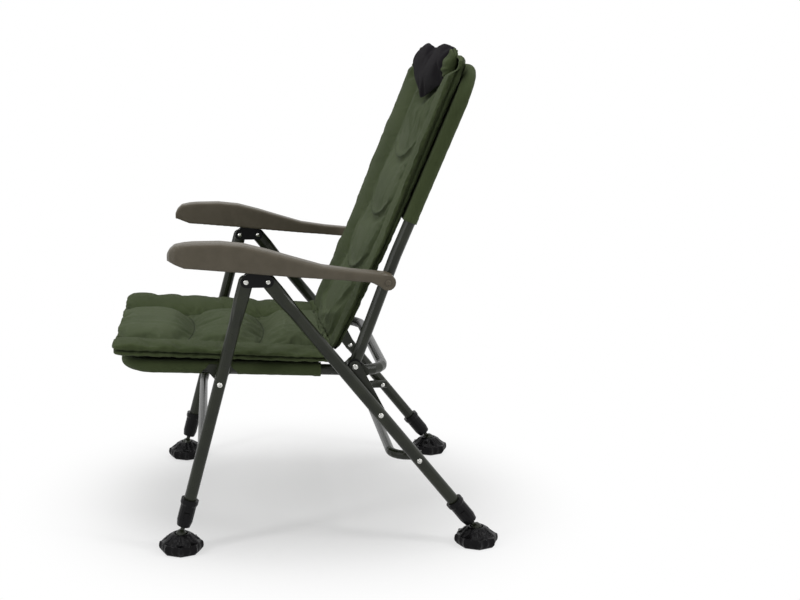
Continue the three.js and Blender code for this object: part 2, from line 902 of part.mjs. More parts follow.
function armSection({ y, top, bottom, out }, side) {
  const outer = armInner + (armOuter - armInner) * out;
  const r = Math.min(cornerRound, half(top - bottom) - cornerLeast, half(outer - armInner) - cornerLeast);
  const inset = half(r);
  // corners in order round the section, each with its own rounding
  const corners = [
    { x: outer, z: top, sx: 1, sz: 1, r },
    { x: armInner, z: top, sx: -1, sz: 1, r: inset },
    { x: armInner, z: bottom, sx: -1, sz: -1, r: half(inset) },
    { x: outer, z: bottom, sx: 1, sz: -1, r: half(r) },
  ];
  const points = [];
  corners.forEach((c, i) => {
    const start = half(Math.PI) * i;
    for (let s = 0; s <= cornerSteps; s++) {
      const angle = start + (half(Math.PI) * s) / cornerSteps;
      points.push(
        new THREE.Vector3(
          side * (c.x - c.sx * c.r + c.r * Math.cos(angle)),
          y,
          c.z - c.sz * c.r + c.r * Math.sin(angle),
        ),
      );
    }
  });
  return points;
}

const roofPoints = () =>
  armStations
    .filter(({ y }) => y >= channelFrontY && y <= channelRearY)
    .map(({ y, top }) => point(y, top - armWall));

const rackFrontY = 52;
const rackPitch = 13;
const rackTeeth = 6;
const rackDrop = 14;
const toothDepth = 6;
const rackHalf = 6;
const toothSlant = 1;
const rackSunk = 1; // the rack's back is this deep in the roof

both((label, side) => {
  const shell = loft(armStations.map((station) => armSection(station, side)));
  const rear = crossPin(
    ...span(side, armInner, armInner + (armOuter - armInner) * armRearOutShare),
    armPivot,
    armRearRound,
    tubeSides,
  );
  const roof = roofPoints();
  const low = armPivotZ - 2 * armRearRound;
  const channel = new THREE.Shape([
    point(roof[0].x, low),
    point(roof[roof.length - 1].x, low),
    ...[...roof].reverse(),
  ]);
  const x = side * legOut;
  let body = cut(
    join(shell, rear),
    sidePlate(channel, x - channelHalf, x + channelHalf),
    crossPin(x - drillReach, x + drillReach, armPivot, rivetRadius + pinPlay),
  );
  // the rack: a row of hooked teeth under the roof that the bracket's pin steps along
  const roofZ = roof[0].y;
  const rackLength = rackPitch * rackTeeth;
  const teeth = [point(rackFrontY, roofZ + rackSunk)];
  for (let i = 0; i < rackTeeth; i++) {
    const y = rackFrontY + rackPitch * i;
    teeth.push(point(y, roofZ - rackDrop));
    teeth.push(point(y + half(rackPitch), roofZ - rackDrop));
    teeth.push(point(y + half(rackPitch) + toothSlant, roofZ - rackDrop + toothDepth));
    teeth.push(point(y + rackPitch - toothSlant, roofZ - rackDrop + toothDepth));
  }
  teeth.push(point(rackFrontY + rackLength, roofZ - toothDepth));
  teeth.push(point(rackFrontY + rackLength, roofZ + rackSunk));
  const rack = sidePlate(new THREE.Shape(teeth), x - rackHalf, x + rackHalf);
  body = join(body, rack);
  add(`armrest_${label}`, body, armPlastic());
});

// Armrest bolts: through the backrest tube and the armrest's rear end
both((label, side) => {
  const outer = armInner + (armOuter - armInner) * armRearOutShare;
  add(
    `armrest_bolt_${label}`,
    rivet(side, armPivot, outer + touchGap, backTubeOut - backTubeRadius - touchGap),
    zincSteel(),
  );
});

// Sleeves of dark cloth: on the seat tubes and over the top of the backrest

const clothThick = 2;
const clothSides = 12;
const sleeveGap = 0.4;
const seatSleeveRear = 292;
const lugWindowFront = 50;
const lugWindowRear = 126;
const hammockLift = 12; // the sling's middle is level with the top of the tube

function seatSling() {
  // the hem turns round the front of the seat frame from one side's rear to the other's
  const hemPath = (rear) =>
    roundedPath(
      [
        at(seatTubeOut, seatLine(rear)),
        at(seatTubeOut, seatLine(seatFrontY)),
        at(-seatTubeOut, seatLine(seatFrontY)),
        at(-seatTubeOut, seatLine(rear)),
      ],
      seatCorner,
    );
  const hem = sweep(
    hemPath(seatSleeveRear),
    seatTubeRadius + 2 * sleeveGap + clothThick,
    clothSides,
  );
  const bore = sweep(
    hemPath(seatSleeveRear + boreSpare),
    seatTubeRadius + 2 * sleeveGap,
    clothSides,
  );
  const plan = new THREE.Shape();
  plan.moveTo(-seatTubeOut, seatSleeveRear);
  plan.absarc(
    seatCorner - seatTubeOut,
    seatFrontY + seatCorner,
    seatCorner,
    Math.PI,
    half(3 * Math.PI),
  );
  plan.absarc(
    seatTubeOut - seatCorner,
    seatFrontY + seatCorner,
    seatCorner,
    half(3 * Math.PI),
    2 * Math.PI,
  );
  plan.lineTo(seatTubeOut, seatSleeveRear);
  const slope = Math.atan2(seatRearZ - seatFrontZ, seatRearY - seatFrontY);
  const sheet = new THREE.ExtrudeGeometry(plan, {
    depth: clothThick,
    bevelEnabled: false,
    curveSegments: bendSteps,
  })
    .rotateX(slope)
    .translate(0, 0, seatHeightAt(0) + hammockLift - half(clothThick));
  // windows in the outer half of each sleeve leave room for the front lugs
  const windowLow = -seatTubeRadius - 2 * clothThick;
  const windowHigh = seatTubeRadius - cutSpare;
  const windows = sides.map(([, side]) => {
    const shape = new THREE.Shape([
      seatLine(lugWindowFront, windowLow),
      seatLine(lugWindowRear, windowLow),
      seatLine(lugWindowRear, windowHigh),
      seatLine(lugWindowFront, windowHigh),
    ]);
    return sidePlate(shape, ...span(side, seatTubeOut, seatTubeOut + 2 * seatTubeRadius));
  });
  return cut(join(sheet, hem), bore, ...windows);
}
add("seat_sling", seatSling(), darkCloth());

const backSleeveShare = 0.19; // where along the upper tube the sleeve's hem lies
const backSleeveHem = point(
  backBendY + (backTopY - backBendY) * backSleeveShare,
  backBendZ + (backTopZ - backBendZ) * backSleeveShare,
);
const backHemGap = 3;
function backSling() {
  const sleeveRadius = backTubeRadius + 2 * sleeveGap + clothThick;
  const path = (start) =>
    roundedPath(
      [
        at(backTubeOut, start),
        at(backTubeOut, backTop),
        at(-backTubeOut, backTop),
        at(-backTubeOut, start),
      ],
      backBowRadius,
    );
  const outer = sweep(path(backSleeveHem), sleeveRadius, clothSides);
  const below = along(backSleeveHem, backTop, -backHemGap);
  const bore = sweep(path(below), backTubeRadius + 2 * sleeveGap, clothSides);
  const slope = backTop.clone().sub(backBend).normalize();
  const ahead = point(-slope.y, slope.x).multiplyScalar(half(clothThick));
  const front = point(-slope.y, slope.x).multiplyScalar(
    backTubeRadius + half(clothThick),
  );
  const lowEnd = backSleeveHem.clone().add(front);
  const highEnd = along(backTop, backBend, half(backBowRadius)).add(front);
  const sheet = sidePlate(
    new THREE.Shape([
      highEnd.clone().sub(ahead),
      highEnd.clone().add(ahead),
      lowEnd.clone().add(ahead),
      lowEnd.clone().sub(ahead),
    ]),
    -backTubeOut,
    backTubeOut,
  );
  return cut(join(sheet, outer), bore);
}
add("back_sling", backSling(), darkCloth());

// Cushions: a raised border down each side, and bulging pads between curved sewn lines

const panelShares = [0, 0.38, 0.73, 0.9, 1]; // columns from the middle out to the side seam
const borderShares = [0.15, 0.35, 0.6, 0.85, 1]; // and from the seam out to the edge
const undersideShares = [0.3, 0.88, 1]; // columns underneath
const borderCrestShare = 0.6; // the border is highest at this share of its width
const panelSquareness = 4; // the power of the curve across a pad, from crest to side seam
const seamReach = 19; // how far a sewn line pulls the padding in, to each side
const endReach = 20; // the pad's ends are rounded over this length
const endDrawShare = 0.06; // and drawn in by this share of the width
const edgeWall = 11; // height of the pad's outer edge
const edgeLift = 7; // the underside curves up this far to the edge
const endThick = 8;

// A pad along a side-view spine. Its underside lies on the spine.
function pad({ spine, halfWidth, thick, seamShares, bowShare, panelShare, rows, bed }) {
  const panelHalf = panelShare * halfWidth;
  const curve = new THREE.SplineCurve(spine);
  const total = curve.getLength();
  const columns = [
    ...panelShares.map((share) => share * panelHalf),
    ...borderShares.map((share) => panelHalf + share * (halfWidth - panelHalf)),
  ];
  const mirrored = (list) => [...[...list].reverse().map((x) => -x), ...list.filter((x) => x > 0)];
  const topX = mirrored(columns);
  const lowX = mirrored(undersideShares.map((share) => share * halfWidth)).reverse();
  const thickness = (u, x) => {
    const bedTop = bed ? bed.thick + Math.max(0, bed.from - u) * total : Infinity;
    return Math.min(bedTop, freeThickness(u, x));
  };
  const freeThickness = (u, x) => {
    const out = Math.abs(x);
    const crest = thick.borderStart + (thick.borderEnd - thick.borderStart) * u;
    if (out > panelHalf) {
      const q = (out - panelHalf) / (halfWidth - panelHalf);
      if (q < borderCrestShare)
        return thick.seam + (crest - thick.seam) * Math.sin((half(Math.PI) * q) / borderCrestShare);
      const fall = (q - borderCrestShare) / (1 - borderCrestShare);
      return crest - (crest - edgeWall) * fall * fall;
    }
    const across = out / panelHalf;
    const bend = bowShare * across * across;
    const nearest = Math.min(...seamShares.map((s) => Math.abs(u - s - bend) * total));
    const free = 1 - Math.exp(-Math.pow(nearest / seamReach, 2));
    return thick.seam + (thick.panel - thick.seam) * (1 - Math.pow(across, panelSquareness)) * free;
  };
  const rings = Array.from({ length: rows + 1 }, (unused, i) => {
    const u = i / rows;
    const centre = curve.getPointAt(u);
    const slope = curve.getTangentAt(u);
    const up = point(-slope.y, slope.x);
    const endShare = Math.min(1, (Math.min(u, 1 - u) * total) / endReach);
    const round = Math.sqrt(1 - (1 - endShare) * (1 - endShare));
    const wide = 1 - endDrawShare * (1 - round);
    const place = (x, n) =>
      new THREE.Vector3(x * wide, centre.x + up.x * n, centre.y + up.y * n);
    const lift = (x) => (Math.abs(x) > undersideShares[1] * halfWidth ? edgeLift * round : 0);
    const top = topX.map((x) => {
      const atEdge = Math.abs(x) > halfWidth - cutSpare ? edgeLift * round : 0;
      return place(x, atEdge + endThick + (thickness(u, x) - endThick) * round);
    });
    return [...top, ...lowX.map((x) => place(x, lift(x)))];
  });
  return loft(rings);
}

const padOverhang = 24; // the seat cushion reaches this far past the seat tubes
const seatPadHalf = seatTubeOut + padOverhang;
const seatPadLift = 14.7; // the cushion rests on the sling, just over the tubes
const seatPadFrontY = -122;
const seatPadFrontBend = -60;
const seatPadMidY = 90;
const seatPadRearY = 288;
const seatPadThick = { borderStart: 28, borderEnd: 16, seam: 8, panel: 26 };
const backPadThick = { borderStart: 24, borderEnd: 22, seam: 9, panel: 27 };
const backPadInset = 18; // the back cushion stays this far inside the backrest tubes
const backPadHalf = backTubeOut - backPadInset;
const backPadOff = 15.3; // from the middle of the backrest tube to the cushion's back
const hipPadExtra = 20; // at the hip it stands this much further forward
const creaseShare = 0.03; // of the lower tube: where the back cushion starts
const creaseGap = 5; // between the two cushions at the hip
const bendIn = 12;
const bendRise = 3;

// A point in front of the lower tube (share from the hip) and of the upper one (from the bend)
const beforeLow = (share) => {
  const way = backBend.clone().sub(hip);
  const off = (backPadOff + hipPadExtra * (1 - share)) / way.length();
  return hip.clone().addScaledVector(way, share).add(point(-way.y * off, way.x * off));
};
const beforeTube = (share, off = backPadOff) => {
  const way = backTop.clone().sub(backBend);
  const reach = off / way.length();
  return backBend.clone().addScaledVector(way, share).add(point(-way.y * reach, way.x * reach));
};
const crease = beforeLow(creaseShare);
const seatPadEnd = along(crease, beforeLow(1), -creaseGap);

add(
  "seat_cushion",
  pad({
    spine: [
      seatLine(seatPadFrontY, seatPadLift),
      seatLine(seatPadFrontBend, seatPadLift),
      seatLine(seatPadMidY, seatPadLift),
      seatLine(seatPadRearY, seatPadLift),
      seatLine(seatPadEnd.x - bendIn, seatPadLift + bendRise),
      seatPadEnd,
    ],
    halfWidth: seatPadHalf,
    thick: seatPadThick,
    seamShares: [0.345, 0.68],
    bowShare: -0.05,
    panelShare: 0.55,
    rows: 27,
  }),
  oliveCloth(),
);

const backPadTopShare = 1.05; // shares of the upper tube
const backPadMiddle = 0.5;
const backPadWaist = 0.08;
const lowShares = [0.26, 0.5, 0.78]; // shares of the lower tube
const pillowBedThick = 8; // the padding is thin behind the pillow
const pillowBedShare = 0.84;
add(
  "back_cushion",
  pad({
    spine: [
      crease,
      ...lowShares.map(beforeLow),
      beforeTube(backPadWaist),
      beforeTube(backPadMiddle),
      beforeTube(backPadTopShare),
    ],
    halfWidth: backPadHalf,
    thick: backPadThick,
    seamShares: [0.235, 0.432, 0.64],
    bowShare: 0.07,
    panelShare: 0.54,
    rows: 34,
    bed: { from: pillowBedShare, thick: pillowBedThick },
  }),
  oliveCloth(),
);

// Pillow: a soft roll that lies between the borders at the top of the back cushion
const pillowInset = 38; // each end stays this far inside the back cushion's edge
const pillowHalf = backPadHalf - pillowInset;
const pillowShare = 0.985; // of the upper tube, to its middle
const pillowLong = 61;
const pillowDeep = 17;
const pillowPlay = 0.4;
const pillowDip = 12; // the middle hangs lower than the ends
const pillowColumns = 18;
const pillowSides = 14;
const pillowOff = backPadOff + pillowBedThick + pillowPlay + pillowDeep;
function pillow() {
  const middle = beforeTube(pillowShare, pillowOff);
  const lean = backTop.clone().sub(backBend).normalize();
  const out = point(-lean.y, lean.x);
  const endPower = 6;
  const rings = [];
  for (let j = 0; j <= pillowColumns; j++) {
    const v = (2 * j) / pillowColumns - 1;
    const fade = Math.pow(Math.max(capLeastShare, 1 - Math.pow(Math.abs(v), endPower)), half(1));
    const dip = pillowDip * Math.pow(Math.cos(half(Math.PI) * v), 2);
    rings.push(
      Array.from({ length: pillowSides }, (unused, k) => {
        const angle = (2 * Math.PI * k) / pillowSides;
        const a = pillowLong * half(1 + fade) * Math.cos(angle) - dip;
        const b = pillowDeep * fade * Math.sin(angle);
        return new THREE.Vector3(
          v * pillowHalf,
          middle.x + lean.x * a + out.x * b,
          middle.y + lean.y * a + out.y * b,
        );
      }),
    );
  }
  return loft(rings);
}
add("pillow", pillow(), pillowCloth());

// The origin goes under the middle of the chair's whole length
const rearmost = rearFoot.x + footRadius;
chair.position.set(0, -half(seatPadFrontY + rearmost), 0);
chair.updateMatrixWorld(true);

export default chair;
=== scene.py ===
import json
import math
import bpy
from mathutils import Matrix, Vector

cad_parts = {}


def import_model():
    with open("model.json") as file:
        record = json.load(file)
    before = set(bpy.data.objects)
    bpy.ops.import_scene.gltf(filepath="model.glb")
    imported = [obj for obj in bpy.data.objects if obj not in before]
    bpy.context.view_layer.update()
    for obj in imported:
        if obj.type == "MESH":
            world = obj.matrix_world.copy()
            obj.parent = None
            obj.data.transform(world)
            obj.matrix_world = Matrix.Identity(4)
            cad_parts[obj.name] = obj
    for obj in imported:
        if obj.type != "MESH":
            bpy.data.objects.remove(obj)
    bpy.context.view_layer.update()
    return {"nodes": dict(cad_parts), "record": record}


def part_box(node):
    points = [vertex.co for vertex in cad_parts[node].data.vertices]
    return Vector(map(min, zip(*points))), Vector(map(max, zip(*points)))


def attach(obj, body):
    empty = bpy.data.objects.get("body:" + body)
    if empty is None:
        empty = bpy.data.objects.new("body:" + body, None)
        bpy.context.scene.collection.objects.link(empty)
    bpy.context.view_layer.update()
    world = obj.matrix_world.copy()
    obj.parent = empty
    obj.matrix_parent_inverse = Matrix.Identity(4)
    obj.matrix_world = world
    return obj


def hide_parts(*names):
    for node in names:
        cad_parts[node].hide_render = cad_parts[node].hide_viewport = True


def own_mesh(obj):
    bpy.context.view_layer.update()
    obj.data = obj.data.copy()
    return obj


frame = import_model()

from types import SimpleNamespace

import bmesh
import bpy
import numpy as np
from mathutils import Vector

NODES = frame["nodes"]
BODY_OF = {node: body for body, nodes in frame["record"]["behaviour"]["bodies"].items() for node in nodes}
SHIFT_Y = -0.264932  # from the side-view drawing to the row frame
MM = 0.001
FULL_TURN = 2 * math.pi
scene = bpy.context.scene
scene.view_settings.view_transform = "Standard"

# Camera: fitted to matching points on both sides of the chair
CAMERA_AT = (2.761, 0.085 + SHIFT_Y, 1.021)
CAMERA_YAW, CAMERA_PITCH = math.radians(3.57), math.radians(11.64)


def add_camera():
    level = math.cos(CAMERA_PITCH)
    forward = Vector((-math.cos(CAMERA_YAW) * level, math.sin(CAMERA_YAW) * level, -math.sin(CAMERA_PITCH)))
    data = bpy.data.cameras.new("camera")
    data.lens, data.sensor_width, data.shift_x, data.clip_end = 58.05, 36, 0.13, 60
    camera = bpy.data.objects.new("camera", data)
    camera.location = CAMERA_AT
    camera.rotation_euler = forward.to_track_quat("-Z", "Y").to_euler()
    scene.collection.objects.link(camera)
    scene.camera = camera


add_camera()


# Materials: every one is made of nodes over object coordinates

def shade(name, color, rough, **sockets):
    mat = bpy.data.materials.new(name)
    mat.use_nodes = True
    bsdf = mat.node_tree.nodes["Principled BSDF"]
    bsdf.inputs["Roughness"].default_value = rough
    bsdf.inputs["Base Color"].default_value = (*color, 1)
    for key, value in sockets.items():
        bsdf.inputs[key.replace("_", " ")].default_value = value
    return mat, mat.node_tree, bsdf


def add(tree, kind, **values):
    """A new shader node, with its sockets or its settings given by name."""
    node = tree.nodes.new("ShaderNode" + kind)
    for key, value in values.items():
        if key in node.inputs:
            node.inputs[key].default_value = value
        else:
            setattr(node, key, value)
    return node


def set_range(node, **limits):
    """Limits of a Map Range node, such as to_min=0.3."""
    for key, value in limits.items():
        node.inputs[key.replace("_", " ").title()].default_value = value


def linear(*levels):
    """A colour from its levels on screen, 0 to 255."""
    return tuple(level / 255 / 12.92 if level < 10 else ((level / 255 + 0.055) / 1.055) ** 2.4
                 for level in levels)


def noise(tree, scale, detail=3):
    texture = add(tree, "TexNoise", Scale=scale, Detail=detail)
    tree.links.new(add(tree, "TexCoord").outputs["Object"], texture.inputs["Vector"])
    return texture.outputs["Fac"]


def mix(tree, factor, first, second, low=0.4, high=0.6):
    """The first colour where factor is below low, the second where it is above high."""
    ramp = add(tree, "MapRange")
    set_range(ramp, from_min=low, from_max=high)
    tree.links.new(factor, ramp.inputs["Value"])
    node = add(tree, "Mix", data_type="RGBA")
    factor_in, *_, first_in, second_in = node.inputs[:8]
    for socket, value in ((first_in, first), (second_in, second)):
        if isinstance(value, tuple):
            socket.default_value = (*value, 1)
        else:
            tree.links.new(value, socket)
    tree.links.new(ramp.outputs["Result"], factor_in)
    return node.outputs[2]


def mottle_and_highlight(tree, bsdf, pattern, dark, light, low=0.4, high=0.6):
    tree.links.new(mix(tree, pattern, dark, light, low, high), bsdf.inputs["Base Color"])


def bump(tree, bsdf, height, strength, distance, below=None):
    """A bump from height, on top of the bump that is given as below."""
    node = add(tree, "Bump", Strength=strength, Distance=distance)
    tree.links.new(height, node.inputs["Height"])
    if below is not None:
        tree.links.new(below, node.inputs["Normal"])
    tree.links.new(node.outputs["Normal"], bsdf.inputs["Normal"])
    return node.outputs["Normal"]


def paint():
    mat, tree, bsdf = shade("painted_tube", linear(30, 34, 22), 0.28, Specular_IOR_Level=0.3)
    mottle_and_highlight(tree, bsdf, noise(tree, 30), linear(27, 31, 20), linear(35, 39, 26))
    rough = add(tree, "MapRange")
    set_range(rough, to_min=0.24, to_max=0.34)
    tree.links.new(noise(tree, 90, 4), rough.inputs["Value"])
    tree.links.new(rough.outputs["Result"], bsdf.inputs["Roughness"])
    bump(tree, bsdf, noise(tree, 900), 0.06, 0.0003)
    return mat


def zinc():
    mat, tree, bsdf = shade("zinc_steel", linear(200, 200, 196), 0.24, Metallic=1.0)
    mottle_and_highlight(tree, bsdf, noise(tree, 300), linear(168, 168, 163), linear(222, 222, 218))
    bump(tree, bsdf, noise(tree, 2500), 0.2, 0.0003)
    return mat


def plastic(name, dark, light, rough, grain, level):
    mat, tree, bsdf = shade(name, dark, rough, Specular_IOR_Level=level)
    mottle_and_highlight(tree, bsdf, noise(tree, 40, 4), dark, light, 0.3, 0.7)
    bump(tree, bsdf, noise(tree, 1800, 2), grain, 0.0003)
    return mat


def weave_height(tree, pitch):
    """Two sets of threads that cross each other."""
    coords = add(tree, "TexCoord")
    total = add(tree, "Math", operation="ADD")
    for axis, socket in zip(("X", "Z"), total.inputs):
        wave = add(tree, "TexWave", bands_direction=axis, Scale=pitch, Distortion=0.4)
        tree.links.new(coords.outputs["Object"], wave.inputs["Vector"])
        tree.links.new(wave.outputs["Fac"], socket)
    return total.outputs[0]


def cloth(name, dark, light, weave=0.5, pitch=700, sheen=0.04, level=0.12):
    mat, tree, bsdf = shade(name, dark, 0.8, Sheen_Weight=sheen, Sheen_Roughness=0.4,
                            Specular_IOR_Level=level)
    color = mix(tree, noise(tree, 9, 5), dark, light, 0.3, 0.7)
    # painted shade darkens the folds and a painted highlight lightens their ridges, both following the
    # mesh's pointiness
    shape = add(tree, "NewGeometry").outputs["Pointiness"]
    color = mix(tree, shape, tuple(0.45 * v for v in dark), color, 0.40, 0.495)
    mottle_and_highlight(tree, bsdf, shape, color, tuple(1.25 * v for v in light), 0.505, 0.62)
    threads = bump(tree, bsdf, weave_height(tree, pitch), weave, 0.0004)
    bump(tree, bsdf, noise(tree, 45, 6), 0.35, 0.003, threads)
    return mat


MATS = {
    "paint": paint(),
    "zinc": zinc(),
    "black": plastic("black_plastic", linear(13, 13, 14), linear(19, 19, 20), 0.3, 0.3, 0.12),
    "rubber": plastic("foot_rubber", linear(9, 8, 10), linear(15, 14, 16), 0.26, 0.5, 0.12),
    "arm": plastic("armrest_plastic", linear(78, 71, 57), linear(86, 79, 65), 0.44, 0.5, 0.4),
    "pad": cloth("mattress_cloth", linear(70, 80, 54), linear(82, 91, 66)),
    "band": cloth("sling_cloth", linear(60, 70, 42), linear(70, 80, 51)),
    "thread": cloth("thread", linear(40, 47, 30), linear(48, 55, 36)),
    "pillow": cloth("pillow_cloth", linear(20, 18, 21), linear(27, 25, 28), 0.3, 500, 0.0, 0.04),
    "strap": cloth("strap_webbing", linear(24, 24, 25), linear(32, 32, 33), 0.6, 900),
}

# the first line with a word that is in a node's name gives its finish
FINISH = [
    ("zinc", ("rivet", "bolt")),
    ("rubber", ("mud_foot",)),
    ("black", ("washer", "clamp", "bracket")),
    ("arm", ("armrest_left", "armrest_right")),
    ("pad", ("cushion",)),
    ("band", ("sling",)),
    ("pillow", ("pillow",)),
    ("paint", ("",)),
]
for name, node in NODES.items():
    finish = next(mat for mat, words in FINISH if any(word in name for word in words))
    node.data.materials.clear()
    node.data.materials.append(MATS[finish])


# The side view that the soft pieces follow: Y and Z of the middle of the frame's tubes, in metres

def side(y, z):
    return np.array([y * MM + SHIFT_Y, z * MM])


def way_from(start, end):
    return (end - start) / np.linalg.norm(end - start)


def square_to(way):
    return np.array([-way[1], way[0]])


HIP, BEND, TOP = side(357, 373), side(436, 592), side(583, 950)
BACK_WAY = way_from(BEND, TOP)
BACK_NORMAL = square_to(BACK_WAY)
BACK_SPAN = np.linalg.norm(TOP - BEND)
BACK_TUBE_X = 0.268

SEAT_FRONT_Y, SEAT_END_Y = -98, 424
TUBE_FRONT, TUBE_REAR = side(SEAT_FRONT_Y, 372), side(SEAT_END_Y, 352)
SEAT_NORMAL = square_to(way_from(TUBE_FRONT, TUBE_REAR))
SEAT_TUBE_X = 0.240


def seat_line(y, lift):
    """Points over the seat tubes, y in the drawing's millimetres, lift in metres."""
    share = (np.asarray(y) - SEAT_FRONT_Y) / (SEAT_END_Y - SEAT_FRONT_Y)
    lift = np.broadcast_to(lift, np.shape(share))
    return TUBE_FRONT + (TUBE_REAR - TUBE_FRONT) * share[..., None] + np.stack([0 * lift, lift], -1)


def before(start, end, share, off):
    """A point in front of a tube that runs up from start to end."""
    return start + (end - start) * share + off * square_to(way_from(start, end))


def reach_along(points):
    """The way along a run of points to each of them."""
    return np.concatenate([[0], np.cumsum(np.linalg.norm(np.diff(points, axis=0), axis=1))])


def evenly(points, count):
    """The same run with evenly spaced points, and its length."""
    reach = reach_along(points)
    even = np.linspace(0, reach[-1], count)
    return np.stack([np.interp(even, reach, column) for column in points.T], 1), reach[-1]


def unit_slopes(curve):
    slope = np.gradient(curve, axis=0)
    return slope / np.linalg.norm(slope, axis=1)[:, None]


def spline(points, count=400):
    """A Catmull-Rom curve through side-view points, with evenly spaced samples."""
    points = np.array([2 * points[0] - points[1], *points, 2 * points[-1] - points[-2]])
    out = []
    for a, b, c, d in zip(points, points[1:], points[2:], points[3:]):
        for t in np.linspace(0, 1, 40, endpoint=False):
            bend = (2 * a - 5 * b + 4 * c - d) * t**2 + (3 * b - a - 3 * c + d) * t**3
            out.append(0.5 * (2 * b + (c - a) * t + bend))
    return evenly(np.array([*out, points[-2]]), count)


class Spine:
    """Places points by their way along a side-view curve, across the chair and above the curve."""

    def __init__(self, points):
        self.curve, self.length = spline(points)
        self.slope = unit_slopes(self.curve)
        self.up = np.stack([-self.slope[:, 1], self.slope[:, 0]], 1)
        self.marks = np.linspace(0, self.length, len(self.curve))

    def place(self, along, x, height):
        along, x, height = np.broadcast_arrays(along, x, height)
        inside = np.clip(along, 0, self.length)
        past = along - inside
        here, up, way = (
            [np.interp(inside, self.marks, column) for column in table.T]
            for table in (self.curve, self.up, self.slope))
        y, z = (here[k] + up[k] * height + way[k] * past for k in (0, 1))
        return np.stack([x, y, z], -1)


# Meshes

def link_mesh(name, mesh, mats):
    obj = bpy.data.objects.new(name, mesh)
    scene.collection.objects.link(obj)
    for mat in mats:
        mesh.materials.append(MATS[mat])
    mesh.shade_smooth()
    return obj


def mesh_object(name, verts, faces, mats):
    mesh = bpy.data.meshes.new(name)
    mesh.from_pydata([tuple(v) for v in verts], [], [tuple(f) for f in faces])
    mesh.validate()
    obj = link_mesh(name, mesh, mats)
    bm = bmesh.new()
    bm.from_mesh(mesh)
    bmesh.ops.recalc_face_normals(bm, faces=bm.faces)
    bm.to_mesh(mesh)
    bm.free()
    return obj


def modify(obj, kind, **values):
    modifier = obj.modifiers.new(kind.lower(), kind)
    for key, value in values.items():
        setattr(modifier, key, value)
    return modifier


def apply_all(obj):
    """Bakes every modifier into the mesh."""
    depsgraph = bpy.context.evaluated_depsgraph_get()
    fresh = bpy.data.meshes.new_from_object(obj.evaluated_get(depsgraph), depsgraph=depsgraph)
    obj.modifiers.clear()
    obj.data = fresh


def grid_faces(index, flip=False):
    """Four-cornered faces over a grid of point numbers."""
    corners = np.stack([index[:-1, :-1], index[:-1, 1:], index[1:, 1:], index[1:, :-1]], -1).reshape(-1, 4)
    return (corners[:, ::-1] if flip else corners).tolist()


def strip_faces(first, second):
    """Faces between two closed rings of point numbers."""
    return np.stack([first, second, np.roll(second, -1), np.roll(first, -1)], 1).tolist()


def tube_rings(rings, closed=False):
    """Faces between rings of points, with a cap over each open end."""
    count, size = len(rings), len(rings[0])
    index = np.arange(count * size).reshape(count, size)
    faces = []
    for i in range(count if closed else count - 1):
        near, far = index[i], index[(i + 1) % count]
        faces += np.stack([near, np.roll(near, -1), np.roll(far, -1), far], 1).tolist()
    if not closed:
        faces += [index[0, ::-1].tolist(), index[-1].tolist()]
    return np.concatenate(rings), faces


def points_of(obj, normals=False):
    """Every point's place or normal, as rows of three numbers."""
    out = np.zeros(3 * len(obj.data.vertices))
    if normals:
        obj.data.vertex_normals.foreach_get("vector", out)
    else:
        obj.data.vertices.foreach_get("co", out)
    return out.reshape(-1, 3)


def move_points(obj, places):
    obj.data.vertices.foreach_set("co", places.ravel())
    obj.data.update()


def push_out(obj, amount):
    """Moves every point along its normal."""
    move_points(obj, points_of(obj) + points_of(obj, normals=True) * amount[:, None])


def subdivide(obj):
    modify(obj, "SUBSURF", levels=1, render_levels=1)
    apply_all(obj)
    obj.data.shade_smooth()


def remember(obj, **values):
    """Keeps a number for every point, which the subdivision carries on to the new points."""
    for name, value in values.items():
        layer = obj.data.attributes.new(name, "FLOAT", "POINT")
        layer.data.foreach_set("value", np.asarray(value, dtype=np.float32))


def recall(obj, name):
    out = np.zeros(len(obj.data.vertices), dtype=np.float32)
    obj.data.attributes[name].data.foreach_get("value", out)
    return out.astype(float)


CLOTH = {
    "quality": 6, "mass": 0.25, "air_damping": 2, "tension_stiffness": 12, "compression_stiffness": 12,
    "shear_stiffness": 6, "bending_stiffness": 0.25, "use_pressure": True,
    "shrink_min": -0.05, "shrink_max": -0.05, "vertex_group_mass": "pins"}


def swell(obj, pinned, pressure, frames, cap):
    """Cloth simulation of a stuffed cover: pinned points stay, and none moves past its own cap."""
    rest = points_of(obj)
    group = obj.vertex_groups.new(name="pins")
    for weight in sorted({round(float(w), 2) for w in pinned if w > 0}):
        members = [int(i) for i in np.nonzero(np.abs(pinned - weight) < 0.005)[0]]
        group.add(members, weight, "REPLACE")
    modifier = modify(obj, "CLOTH")
    for key, value in CLOTH.items():
        setattr(modifier.settings, key, value)
    modifier.settings.effector_weights.gravity = 0
    modifier.settings.uniform_pressure_force = pressure
    modifier.collision_settings.use_collision = False
    modifier.collision_settings.use_self_collision = False
    modifier.point_cache.frame_start, modifier.point_cache.frame_end = 1, frames
    for frame_number in range(1, frames + 1):
        scene.frame_set(frame_number)
    apply_all(obj)
    moved = points_of(obj) - rest
    size = np.linalg.norm(moved, axis=1, keepdims=True)
    cap = np.broadcast_to(cap, len(rest))[:, None]
    moved *= np.where(size > cap, cap / np.maximum(size, 1e-9), 1) * np.isfinite(size)
    move_points(obj, rest + np.nan_to_num(moved))
    scene.frame_set(1)
    obj.vertex_groups.clear()


def smoothstep(x):
    x = np.clip(x, 0, 1)
    return x * x * (3 - 2 * x)


def ripple(t, period, seed, wander=0.0):
    """An uneven wave between about -1 and 1, with hills about one period apart."""
    picks = np.random.default_rng(seed)
    total = 0
    for k in range(4):
        turn = picks.uniform(0, FULL_TURN)
        wave = np.sin(FULL_TURN * t / (period * (0.72 + 0.24 * k)) + turn + wander)
        total = total + wave * (0.42 - 0.06 * k)
    return total


